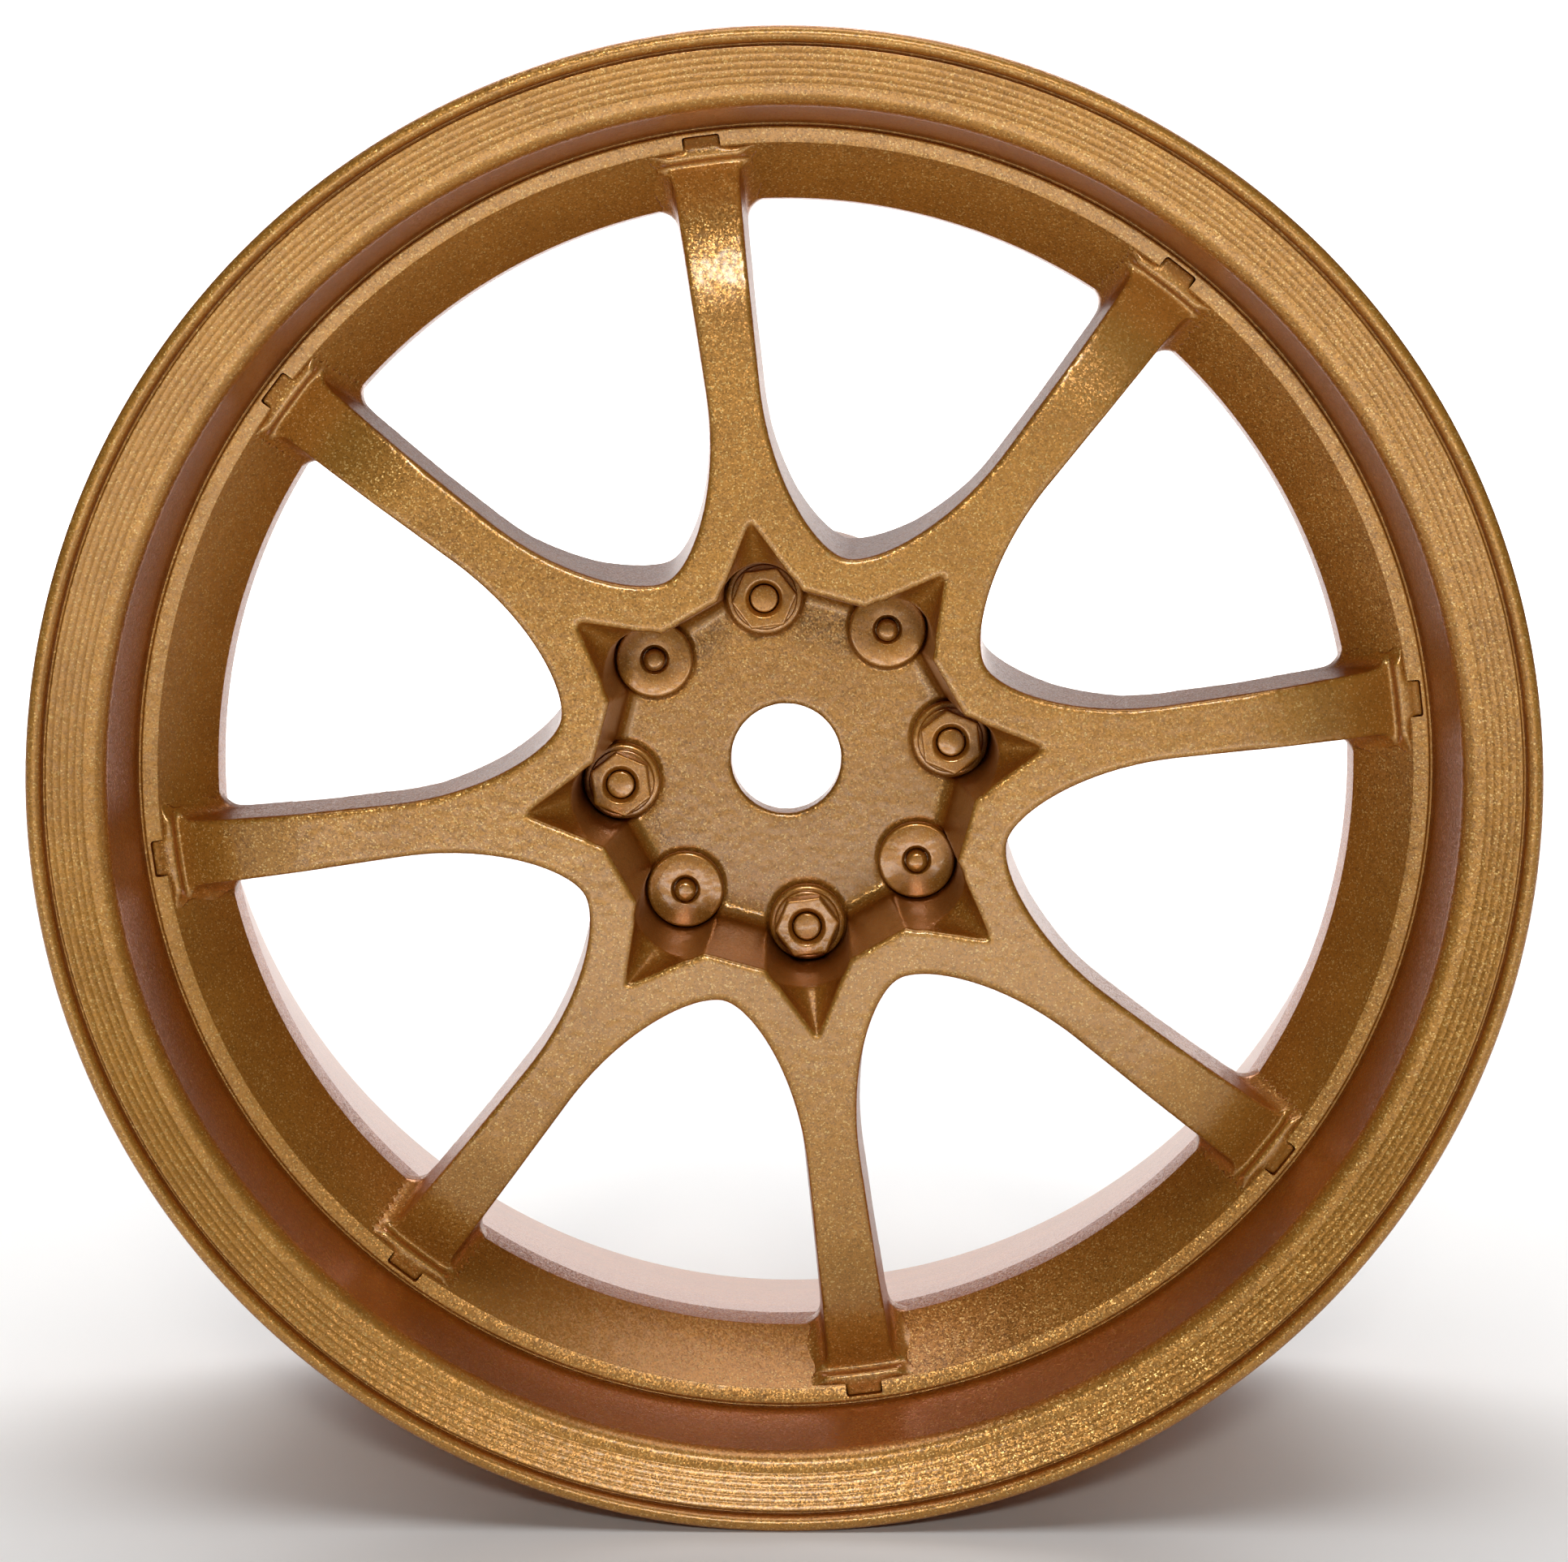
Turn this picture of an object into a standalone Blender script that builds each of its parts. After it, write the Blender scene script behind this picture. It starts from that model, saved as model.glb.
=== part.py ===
"""Eight-spoke racing wheel for a 1:10 scale car, as an assembly of separate pieces.

World frame: origin at the centre of the wheel, spin axis on Y, outer face toward -Y, +Z up.
The pieces are modelled lying face up (outer face toward local +Z) under one empty, "wheel",
which stands them on the tread and turns them by SPOKE_TURN. Depths are measured from the
front rim plane toward the back of the wheel.
"""

import math

import bmesh
import bpy
from mathutils import Matrix, Vector

METRES_PER_MM = 0.001
MM = 1.0  # the pieces are modelled in millimetres and scaled to metres at the end

# --- Driving dimensions -------------------------------------------------------------------
RIM_RADIUS = 26.0 * MM
RIM_WIDTH = 26.0 * MM
SPOKE_COUNT = 8
SPOKE_TURN = math.radians(7.4)  # how far the wheel has rolled from a spoke straight up
FIT = 0.05 * MM  # clearance between pieces that touch

# Rim: flanges, bead seats and the drop between them
FLANGE_THICKNESS = 1.25 * MM
FLANGE_HEIGHT = 1.25 * MM
BEAD_SEAT_WIDTH = 3.4 * MM
HUMP_HEIGHT = 0.2 * MM
BEAD_RING_WIDTH = 0.54 * MM
BEAD_GROOVE_WIDTH = 0.12 * MM
BEAD_GROOVE_DEPTH = 0.15 * MM
LIP_START_DEPTH = 0.36 * MM
LIP_FACE_WIDTH = 1.35 * MM
LIP_FACE_FALL = 0.55 * MM
LIP_SHOULDER = 0.6 * MM
LIP_WALL_DRAFT = 0.3 * MM
LIP_WALL_DEPTH = 5.3 * MM
LEDGE_GROOVE_WIDTH = 0.14 * MM
LEDGE_GROOVE_DEPTH = 0.22 * MM
LEDGE_WIDTH = 0.55 * MM
LEDGE_FALL = 0.15 * MM
CONE_WIDTH = 1.85 * MM
CONE_FALL = 2.0 * MM
THROAT_LENGTH = 1.6 * MM
RIM_WALL = 1.2 * MM
REAR_WALL = 0.9 * MM
RIM_STEPS = 64

# Spoke centre
FACE_DEPTH = 4.6 * MM
FACE_FLAT_RADIUS = 16.5 * MM
FACE_FALL = 1.35 * MM
SHELF_WIDTH = 0.4 * MM
SPOKE_WAIST_RADIUS = 14.0 * MM
SPOKE_WAIST = 1.9 * MM
SPOKE_TIP = 2.3 * MM
SPOKE_DEPTH = 3.0 * MM
SPOKE_TIP_DEPTH = 2.9 * MM
WINDOW_INNER_RADIUS = 8.2 * MM
WINDOW_CORNER_PULL = 1.0 * MM
SPOKE_FLARE_PULL = 3.5 * MM
WALL_DRAFT = math.radians(2.6)
FOOT_FILLET = 0.7 * MM
HUB_DEPTH = 7.4 * MM
KEY_WIDTH = 1.3 * MM
KEY_LENGTH = 0.45 * MM
KEY_HEIGHT = 0.5 * MM
KEY_STEP = 0.12 * MM

# Hub recess and the lug positions around it
RECESS_FLAT_TO_FLAT = 13.4 * MM
RECESS_DEPTH = 6.9 * MM
RECESS_DRAFT = 0.4 * MM
RECESS_FILLET = 0.5 * MM
AXLE_HOLE_RADIUS = 2.05 * MM
WEB_THICKNESS = 1.4 * MM
HEX_SEAT_RISE = 0.1 * MM
HEX_SEAT_MARGIN = 0.3 * MM
LUG_CIRCLE_RADIUS = 6.15 * MM
LUG_BORE_RADIUS = 1.5 * MM
LUG_BORE_DRAFT = 0.08 * MM
LUG_POCKET_DEPTH = 0.1 * MM
DIMPLE_TIP_RADIUS = 9.3 * MM
DIMPLE_BASE_RADIUS = 6.65 * MM
DIMPLE_HALF_WIDTH = 1.45 * MM
DIMPLE_DEPTH = 2.6 * MM

# Drive hub behind the web
HEX_ACROSS_FLATS = 12.2 * MM
HEX_SOCKET_DEPTH = 5.0 * MM
BOSS_WALL = 0.75 * MM
SLEEVE_WALL = 0.5 * MM
SLEEVE_STEPS = 48

# Lug hardware
SEAT_RADIUS = 1.42 * MM
SEAT_HEIGHT = 0.6 * MM
SEAT_CHAMFER = 0.12 * MM
WASHER_RADIUS = 1.22 * MM
WASHER_THICKNESS = 0.2 * MM
STUD_RADIUS = 0.5 * MM
STUD_ROOT = 1.0 * MM
STUD_SINK = 0.08 * MM
STUD_CHAMFER = 0.08 * MM
NUT_ACROSS_FLATS = 2.1 * MM
NUT_HEIGHT = 0.8 * MM
NUT_CHAMFER = 0.22 * MM
PIN_RADIUS = 0.4 * MM
PIN_HEIGHT = 0.4 * MM
SMALL_STEPS = 16

# --- Derived places -----------------------------------------------------------------------
SECTOR = 2.0 * math.pi / SPOKE_COUNT
TOP = RIM_WIDTH / 2.0
BEAD_SEAT_RADIUS = RIM_RADIUS - FLANGE_HEIGHT
LIP_FACE_RADIUS = RIM_RADIUS - BEAD_RING_WIDTH - BEAD_GROOVE_WIDTH
LIP_WALL_RADIUS = LIP_FACE_RADIUS - LIP_FACE_WIDTH - LIP_SHOULDER
LEDGE_RADIUS = LIP_WALL_RADIUS - LIP_WALL_DRAFT - LEDGE_GROOVE_WIDTH
CONE_RADIUS = LEDGE_RADIUS - LEDGE_WIDTH
CONE_DEPTH = LIP_WALL_DEPTH + LEDGE_FALL
THROAT_RADIUS = CONE_RADIUS - CONE_WIDTH
THROAT_DEPTH = CONE_DEPTH + CONE_FALL
TIP_RADIUS = CONE_RADIUS - FIT
FLOOR_DEPTH = FACE_DEPTH + RECESS_DEPTH
WEB_BACK_DEPTH = FLOOR_DEPTH + WEB_THICKNESS
HEX_SEAT_DEPTH = WEB_BACK_DEPTH + HEX_SEAT_RISE
HEX_SEAT_RADIUS = HEX_ACROSS_FLATS / 2.0 - HEX_SEAT_MARGIN
HEX_CORNER_RADIUS = HEX_ACROSS_FLATS / 2.0 / math.cos(math.pi / 6.0)
SLEEVE_RADIUS = HEX_CORNER_RADIUS + SLEEVE_WALL
BOSS_RADIUS = SLEEVE_RADIUS + FIT + BOSS_WALL
BOSS_BACK_DEPTH = HEX_SEAT_DEPTH + HEX_SOCKET_DEPTH
LUG_FLOOR = TOP - FLOOR_DEPTH - LUG_POCKET_DEPTH
SEAT_TOP = LUG_FLOOR + FIT + SEAT_HEIGHT
WASHER_TOP = SEAT_TOP + FIT + WASHER_THICKNESS
NUT_TOP = WASHER_TOP + FIT + NUT_HEIGHT

GOLD = (0.46, 0.21, 0.045)
GOLD_BRIGHT = (0.55, 0.28, 0.07)
GREY = (0.32, 0.31, 0.30)


# --- Helpers ------------------------------------------------------------------------------
def clear_scene():
    for obj in list(bpy.data.objects):
        bpy.data.objects.remove(obj, do_unlink=True)


def make_collection(name):
    collection = bpy.data.collections.new(name)
    bpy.context.scene.collection.children.link(collection)
    return collection


def make_material(name, colour, roughness, metallic):
    material = bpy.data.materials.new(name)
    material.use_nodes = True
    shader = material.node_tree.nodes["Principled BSDF"]
    shader.inputs["Base Color"].default_value = (*colour, 1.0)
    shader.inputs["Roughness"].default_value = roughness
    shader.inputs["Metallic"].default_value = metallic
    return material


def place(obj, collection, parent, location=(0.0, 0.0, 0.0), turn=0.0):
    """Link an object under its parent at a place and a turn about the local axis."""
    collection.objects.link(obj)
    obj.parent = parent
    obj.location = location
    obj.rotation_euler = (0.0, 0.0, turn)


def mesh_from_bmesh(name, shape):
    mesh = bpy.data.meshes.new(name)
    bmesh.ops.recalc_face_normals(shape, faces=shape.faces)
    shape.to_mesh(mesh)
    shape.free()
    return mesh


def turned_mesh(name, profile, steps):
    """Turn a profile of (radius, height) points about Z. It runs down its outer side."""
    mesh = bpy.data.meshes.new(name)
    points = [(radius, 0.0, height) for radius, height in profile]
    closed = profile[0][0] > 0.0
    edges = [(i, i + 1) for i in range(len(points) - 1)]
    if closed:
        edges.append((len(points) - 1, 0))
    mesh.from_pydata(points, edges, [])
    blank = bpy.data.objects.new(name, mesh)
    bpy.context.scene.collection.objects.link(blank)
    screw = blank.modifiers.new("turn", "SCREW")
    screw.steps = steps
    screw.render_steps = steps
    screw.use_merge_vertices = True
    screw.merge_threshold = 0.0001
    result = evaluated_mesh(blank)
    bpy.data.objects.remove(blank)
    return result


def evaluated_mesh(obj):
    bpy.context.view_layer.update()
    graph = bpy.context.evaluated_depsgraph_get()
    return bpy.data.meshes.new_from_object(obj.evaluated_get(graph), depsgraph=graph).copy()


def prism_mesh(name, sides, radius, height, top_radius=None):
    """A regular prism or frustum standing on z = 0."""
    shape = bmesh.new()
    upper = radius if top_radius is None else top_radius
    bmesh.ops.create_cone(shape, cap_ends=True, segments=sides, radius1=radius,
                          radius2=upper, depth=height)
    bmesh.ops.translate(shape, verts=shape.verts, vec=(0.0, 0.0, height / 2.0))
    return mesh_from_bmesh(name, shape)


def loft_mesh(name, lower, upper):
    """A closed solid between two outlines of equally many points, (x, y, z) each."""
    shape = bmesh.new()
    bottom = [shape.verts.new(point) for point in lower]
    top = [shape.verts.new(point) for point in upper]
    count = len(bottom)
    for i in range(count):
        j = (i + 1) % count
        shape.faces.new((bottom[i], bottom[j], top[j], top[i]))
    shape.faces.new(list(reversed(bottom)))
    shape.faces.new(top)
    return mesh_from_bmesh(name, shape)


def add_cutter(name, mesh, location=(0.0, 0.0, 0.0), turn=0.0):
    cutter = bpy.data.objects.new(name, mesh)
    place(cutter, CUTTERS, WHEEL, location, turn)
    cutter.hide_render = True
    cutter.display_type = "WIRE"
    return cutter


def boolean(obj, other, operation="DIFFERENCE"):
    modifier = obj.modifiers.new(other.name, "BOOLEAN")
    modifier.operation = operation
    modifier.solver = "EXACT"
    modifier.object = other


def settle(obj):
    """Replace an object's mesh with its evaluated shape, shaded smooth between sharp edges."""
    mesh = evaluated_mesh(obj)
    mesh.name = obj.name
    obj.modifiers.clear()
    obj.data = mesh
    mesh.shade_smooth()
    mesh.set_sharp_from_angle(angle=math.radians(32.0))


def add_part(name, mesh, material, location=(0.0, 0.0, 0.0), turn=0.0):
    part = bpy.data.objects.new(name, mesh)
    place(part, PARTS, WHEEL, location, turn)
    part.data.materials.clear()
    part.data.materials.append(material)
    return part


def arc(centre, radius, start, end, count):
    """Points (radius, height) on an arc, with its angles in degrees."""
    angles = [math.radians(start + (end - start) * i / count) for i in range(count + 1)]
    return [(centre[0] + radius * math.cos(a), centre[1] + radius * math.sin(a)) for a in angles]


def lug_angle(index):
    return math.pi / 2.0 + SECTOR * index


def on_lug_circle(index, height):
    angle = lug_angle(index)
    return (LUG_CIRCLE_RADIUS * math.cos(angle), LUG_CIRCLE_RADIUS * math.sin(angle), height)


# --- Rim barrel ---------------------------------------------------------------------------
def rim_front_profile():
    """From the throat up the ledge, wall and lip face to the bead ring's outer edge."""
    wall_foot = LIP_WALL_RADIUS - LIP_WALL_DRAFT
    shoulder_depth = LIP_START_DEPTH + LIP_FACE_FALL
    ring_radius = BEAD_RING_WIDTH / 2.0
    groove_outer = RIM_RADIUS - BEAD_RING_WIDTH
    groove_floor = TOP - LIP_START_DEPTH - BEAD_GROOVE_DEPTH
    points = [
        (THROAT_RADIUS, TOP - THROAT_DEPTH),
        (CONE_RADIUS, TOP - CONE_DEPTH),
        (LEDGE_RADIUS, TOP - LIP_WALL_DEPTH),
        (LEDGE_RADIUS + LEDGE_GROOVE_WIDTH / 3.0, TOP - LIP_WALL_DEPTH - LEDGE_GROOVE_DEPTH),
        (wall_foot, TOP - LIP_WALL_DEPTH - LEDGE_GROOVE_DEPTH),
    ]
    shoulder = (LIP_WALL_RADIUS + LIP_SHOULDER, TOP - shoulder_depth - LIP_SHOULDER)
    points += arc(shoulder, LIP_SHOULDER, 180.0, 105.0, 4)
    points += [
        (LIP_FACE_RADIUS, TOP - LIP_START_DEPTH),
        (LIP_FACE_RADIUS + BEAD_GROOVE_WIDTH / 4.0, groove_floor),
        (groove_outer, groove_floor),
    ]
    points += arc((RIM_RADIUS - ring_radius, TOP - ring_radius), ring_radius, 180.0, 0.0, 6)
    return points


def rim_tread_profile():
    """Down the outside: front flange, bead seat, hump, well, hump, bead seat, rear flange."""
    seat = BEAD_SEAT_RADIUS
    inner_edge = FLANGE_THICKNESS + BEAD_SEAT_WIDTH
    slope = FLANGE_HEIGHT * 0.2
    front_half = [
        (RIM_RADIUS, FLANGE_THICKNESS - slope),
        (RIM_RADIUS - slope, FLANGE_THICKNESS),
        (seat + slope, FLANGE_THICKNESS),
        (seat, FLANGE_THICKNESS + slope),
        (seat, inner_edge),
        (seat + HUMP_HEIGHT, inner_edge + HUMP_HEIGHT * 2.0),
        (seat - HUMP_HEIGHT, inner_edge + HUMP_HEIGHT * 5.0),
    ]
    well_radius = THROAT_RADIUS + RIM_WALL
    well = [
        (well_radius, THROAT_DEPTH + RIM_WALL),
        (throat_radius_at(RIM_WIDTH / 2.0) + RIM_WALL, RIM_WIDTH / 2.0),
    ]
    points = [(radius, TOP - depth) for radius, depth in front_half + well]
    points += [(radius, depth - TOP) for radius, depth in reversed(front_half)]
    return points


def throat_radius_at(depth):
    """The inside of the barrel behind the spokes, which opens toward the back."""
    start = THROAT_DEPTH + THROAT_LENGTH
    rear = BEAD_SEAT_RADIUS - REAR_WALL
    share = max(0.0, (depth - start) / (RIM_WIDTH - start))
    return THROAT_RADIUS + (rear - THROAT_RADIUS) * share


def build_rim_barrel():
    rear_round = BEAD_RING_WIDTH / 2.0
    points = rim_front_profile() + rim_tread_profile()
    points += arc((RIM_RADIUS - rear_round, rear_round - TOP), rear_round, 0.0, -90.0, 3)
    points += [
        (throat_radius_at(RIM_WIDTH), -TOP),
        (THROAT_RADIUS, TOP - THROAT_DEPTH - THROAT_LENGTH),
    ]
    rim = add_part("rim_barrel", turned_mesh("rim_barrel", points, RIM_STEPS), PAINT,
                   turn=-SPOKE_TURN)
    notch = key_mesh("rim_notch", FIT, TOP - LIP_WALL_DEPTH + LEDGE_GROOVE_DEPTH)
    for index in range(SPOKE_COUNT):
        boolean(rim, add_cutter(f"rim_notch_{index + 1}", notch, turn=lug_angle(index)))
    settle(rim)


def key_mesh(name, clearance, top):
    """The block that keys a spoke tip into the ledge, along +X from inside the tip."""
    half = KEY_WIDTH / 2.0 + clearance
    inner = TIP_RADIUS - SHELF_WIDTH / 2.0
    outer = TIP_RADIUS + KEY_LENGTH + clearance
    bottom = TOP - CONE_DEPTH - KEY_HEIGHT - clearance
    outline = [(inner, -half), (outer, -half), (outer, half), (inner, half)]
    lower = [(x, y, bottom) for x, y in outline]
    upper = [(x, y, top) for x, y in outline]
    return loft_mesh(name, lower, upper)


# --- Spoke centre -------------------------------------------------------------------------
def face_depth(radius):
    """Depth of the spokes' front: flat near the hub, then falling away along an arc."""
    run = TIP_RADIUS - SHELF_WIDTH - FACE_FLAT_RADIUS
    bend = (run * run + FACE_FALL * FACE_FALL) / (2.0 * FACE_FALL)
    past = max(0.0, radius - FACE_FLAT_RADIUS)
    return FACE_DEPTH + bend - math.sqrt(bend * bend - past * past)


def centre_profile():
    """The turned blank: face, shelf, seat on the rim's cone, back of the spokes, boss, web."""
    shelf_inner = TIP_RADIUS - SHELF_WIDTH
    face_count = 7
    points = [(AXLE_HOLE_RADIUS, FACE_DEPTH)]
    for i in range(face_count + 1):
        radius = FACE_FLAT_RADIUS + (shelf_inner - FACE_FLAT_RADIUS) * i / face_count
        points.append((radius, face_depth(radius)))
    throat = THROAT_RADIUS - FIT
    back_tip = face_depth(throat) + SPOKE_TIP_DEPTH
    hub_edge = WINDOW_INNER_RADIUS + HUB_DEPTH * math.tan(WALL_DRAFT)
    points += [
        (shelf_inner + FIT, CONE_DEPTH),
        (TIP_RADIUS, CONE_DEPTH),
        (throat, THROAT_DEPTH),
        (throat, back_tip),
        (FACE_FLAT_RADIUS, FACE_DEPTH + SPOKE_DEPTH),
        ((FACE_FLAT_RADIUS + hub_edge) / 2.0, FACE_DEPTH + SPOKE_DEPTH * 1.15),
        (hub_edge * 1.2, FACE_DEPTH + HUB_DEPTH * 0.68),
        (max(hub_edge, BOSS_RADIUS + FIT), FACE_DEPTH + HUB_DEPTH),
        (BOSS_RADIUS, FACE_DEPTH + HUB_DEPTH),
        (BOSS_RADIUS, BOSS_BACK_DEPTH),
        (SLEEVE_RADIUS + FIT, BOSS_BACK_DEPTH),
        (SLEEVE_RADIUS + FIT, WEB_BACK_DEPTH),
        (HEX_SEAT_RADIUS, WEB_BACK_DEPTH),
        (HEX_SEAT_RADIUS, HEX_SEAT_DEPTH),
        (AXLE_HOLE_RADIUS, HEX_SEAT_DEPTH),
    ]
    return [(radius, TOP - depth) for radius, depth in points]


def cubic(start, first, second, end, count):
    """Points and unit left normals along a cubic Bezier curve."""
    result = []
    for i in range(count + 1):
        t = i / count
        s = 1.0 - t
        point = start * s**3 + first * 3 * s * s * t + second * 3 * s * t * t + end * t**3
        slope = (first - start) * s * s + (second - first) * 2 * s * t + (end - second) * t * t
        normal = Vector((-slope.y, slope.x)).normalized()
        result.append((point, normal))
    return result


def spoke_edge():
    """One side of a spoke along +X, from past its tip to the window's inner end."""
    half_sector = SECTOR / 2.0
    out = RIM_RADIUS
    taper = (SPOKE_TIP - SPOKE_WAIST) / 2.0 / (TIP_RADIUS - SPOKE_WAIST_RADIUS)
    waist = Vector((SPOKE_WAIST_RADIUS, SPOKE_WAIST / 2.0))
    past_tip = waist + Vector((out - SPOKE_WAIST_RADIUS, taper * (out - SPOKE_WAIST_RADIUS)))
    side = Vector((taper, -1.0)).normalized() * -1.0
    apex = Vector((math.cos(half_sector), math.sin(half_sector))) * WINDOW_INNER_RADIUS
    across = Vector((math.sin(half_sector), -math.cos(half_sector)))
    along = Vector((-1.0, -taper)).normalized()
    curve = cubic(waist, waist + along * SPOKE_FLARE_PULL, apex + across * WINDOW_CORNER_PULL,
                  apex, 12)
    edge = [(past_tip, side)]
    for point, normal in curve:
        edge.append((point, -normal))
    return edge


def window_outline(inset, height):
    """A window's outline about the +X bisector, moved in by the draft's inset."""
    half = []
    turn = Matrix.Rotation(-SECTOR / 2.0, 2)
    for point, normal in spoke_edge():
        moved = turn @ (point + normal * inset)
        half.append(moved)
    lower = [(point.x, point.y, height) for point in half]
    upper = [(point.x, -point.y, height) for point in reversed(half[:-1])]
    return lower + upper


def foot_section(radius, depth):
    """A spoke's outline along +X at one depth, rounding out to a circle of the rim."""
    taper = (SPOKE_TIP - SPOKE_WAIST) / 2.0 / (TIP_RADIUS - SPOKE_WAIST_RADIUS)
    edge = SPOKE_WAIST / 2.0 + taper * (radius - SPOKE_WAIST_RADIUS)
    edge += math.tan(WALL_DRAFT) * (depth - FACE_DEPTH)
    high = edge + FOOT_FILLET
    centre = (math.sqrt((radius - FOOT_FILLET)**2 - high**2), high)
    lean = math.degrees(math.atan2(centre[1], centre[0]))
    side = [(centre[0] - FOOT_FILLET, edge - FIT)]
    side += arc(centre, FOOT_FILLET, -90.0, lean, 5)
    side.append((side[-1][0] * 1.2, side[-1][1] * 1.2))
    half = [(x, y, TOP - depth) for x, y in side]
    return half + [(x, -y, z) for x, y, z in reversed(half)]


def foot_mesh(name):
    """The filleted foot of a spoke along +X, following the rim's cone and throat."""
    levels = [
        (CONE_RADIUS, CONE_DEPTH - CONE_FALL * 1.5),
        (CONE_RADIUS, CONE_DEPTH),
        (THROAT_RADIUS, THROAT_DEPTH),
        (THROAT_RADIUS, THROAT_DEPTH + SPOKE_DEPTH * 2.0),
    ]
    shape = bmesh.new()
    rings = [[shape.verts.new(point) for point in foot_section(radius, depth)]
             for radius, depth in levels]
    count = len(rings[0])
    for upper, lower in zip(rings, rings[1:]):
        for i in range(count):
            j = (i + 1) % count
            shape.faces.new((lower[i], lower[j], upper[j], upper[i]))
    shape.faces.new(rings[0])
    shape.faces.new(list(reversed(rings[-1])))
    return mesh_from_bmesh(name, shape)


def window_mesh():
    """A drafted window cutter about +X, less the feet of the two spokes beside it."""
    reach = HUB_DEPTH * 1.5
    margin = CONE_FALL
    slope = math.tan(WALL_DRAFT)
    front = window_outline(-margin * slope, TOP - FACE_DEPTH + margin)
    back = window_outline(reach * slope, TOP - FACE_DEPTH - reach)
    cutter = add_cutter("window_blank", loft_mesh("window_blank", back, front))
    foot = foot_mesh("spoke_foot")
    for side in (-1.0, 1.0):
        boolean(cutter, add_cutter("spoke_foot", foot, turn=side * SECTOR / 2.0))
    return evaluated_mesh(cutter)


def recess_mesh():
    """The octagonal recess, drafted, with a rounded edge around its floor."""
    corner = 1.0 / math.cos(SECTOR / 2.0)
    margin = RECESS_DEPTH / 4.0
    top = (RECESS_FLAT_TO_FLAT / 2.0 + RECESS_DRAFT / 4.0) * corner
    bottom = (RECESS_FLAT_TO_FLAT / 2.0 - RECESS_DRAFT) * corner
    shape = bmesh.new()
    bmesh.ops.create_cone(shape, cap_ends=True, segments=SPOKE_COUNT, radius1=bottom,
                          radius2=top, depth=RECESS_DEPTH + margin)
    low = min(vert.co.z for vert in shape.verts)
    floor_edges = [edge for edge in shape.edges
                   if all(abs(vert.co.z - low) < FIT for vert in edge.verts)]
    bmesh.ops.translate(shape, verts=shape.verts, vec=(0.0, 0.0, TOP - FLOOR_DEPTH - low))
    bmesh.ops.bevel(shape, geom=floor_edges, offset=RECESS_FILLET, segments=3, profile=0.5,
                    affect="EDGES")
    return mesh_from_bmesh("recess", shape)


def dimple_mesh():
    """A round-bottomed pit along +X, deepest at the lug bore and running out at its tip."""
    face = TOP - FACE_DEPTH
    shape = bmesh.new()
    tip = shape.verts.new((DIMPLE_TIP_RADIUS, 0.0, face))
    ring = []
    for i in range(SMALL_STEPS):
        angle = 2.0 * math.pi * i / SMALL_STEPS
        ring.append(shape.verts.new((DIMPLE_BASE_RADIUS, DIMPLE_HALF_WIDTH * math.cos(angle),
                                     face + DIMPLE_DEPTH * math.sin(angle))))
    shape.faces.new(ring)
    for i in range(SMALL_STEPS):
        shape.faces.new((ring[i], tip, ring[(i + 1) % SMALL_STEPS]))
    return mesh_from_bmesh("dimple", shape)


def cut_lug_position(centre, index, bore, hole, dimple):
    boolean(centre, add_cutter(f"dimple_cut_{index + 1}", dimple, turn=lug_angle(index)))
    boolean(centre, add_cutter(f"bore_cut_{index + 1}", bore,
                               on_lug_circle(index, LUG_FLOOR)))
    boolean(centre, add_cutter(f"hole_cut_{index + 1}", hole,
                               on_lug_circle(index, LUG_FLOOR - STUD_ROOT - FIT)))


def build_spoke_centre():
    blank = turned_mesh("spoke_centre", centre_profile(), RIM_STEPS)
    centre = add_part("spoke_centre", blank, PAINT)
    window = window_mesh()
    for index in range(SPOKE_COUNT):
        turn = lug_angle(index) + SECTOR / 2.0
        boolean(centre, add_cutter(f"window_cut_{index + 1}", window, turn=turn))
    boolean(centre, add_cutter("recess_cut", recess_mesh()))
    bore = prism_mesh("bore", SMALL_STEPS, LUG_BORE_RADIUS, RECESS_DEPTH * 1.25,
                      LUG_BORE_RADIUS + LUG_BORE_DRAFT)
    hole = prism_mesh("stud_hole", SMALL_STEPS, STUD_RADIUS + FIT, STUD_ROOT + FIT * 3.0)
    dimple = dimple_mesh()
    for index in range(SPOKE_COUNT):
        cut_lug_position(centre, index, bore, hole, dimple)
    key = key_mesh("spoke_key", 0.0, TOP - CONE_DEPTH - KEY_STEP)
    for index in range(SPOKE_COUNT):
        block = add_cutter(f"spoke_key_{index + 1}", key, turn=lug_angle(index))
        boolean(centre, block, "UNION")
    for modifier in centre.modifiers:
        modifier.solver = "MANIFOLD"  # EXACT loses the blank at the window cuts
    settle(centre)


# --- Drive hub ----------------------------------------------------------------------------
def build_drive_hub():
    """The sleeve behind the web, with a hexagonal socket for the axle's drive hex."""
    back = TOP - BOSS_BACK_DEPTH
    front = TOP - WEB_BACK_DEPTH - FIT
    sleeve = prism_mesh("drive_hub", SLEEVE_STEPS, SLEEVE_RADIUS, front - back)
    hub = add_part("drive_hub", sleeve, METAL, (0.0, 0.0, back))
    socket = prism_mesh("hex_socket", 6, HEX_CORNER_RADIUS, (front - back) * 2.0)
    boolean(hub, add_cutter("hex_socket_cut", socket, (0.0, 0.0, back - (front - back) / 2.0)))
    settle(hub)


# --- Lug hardware -------------------------------------------------------------------------
def ring_profile(outer, inner, bottom, top, chamfer):
    return [(inner, top), (outer - chamfer, top), (outer, top - chamfer), (outer, bottom),
            (inner, bottom)]


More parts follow.
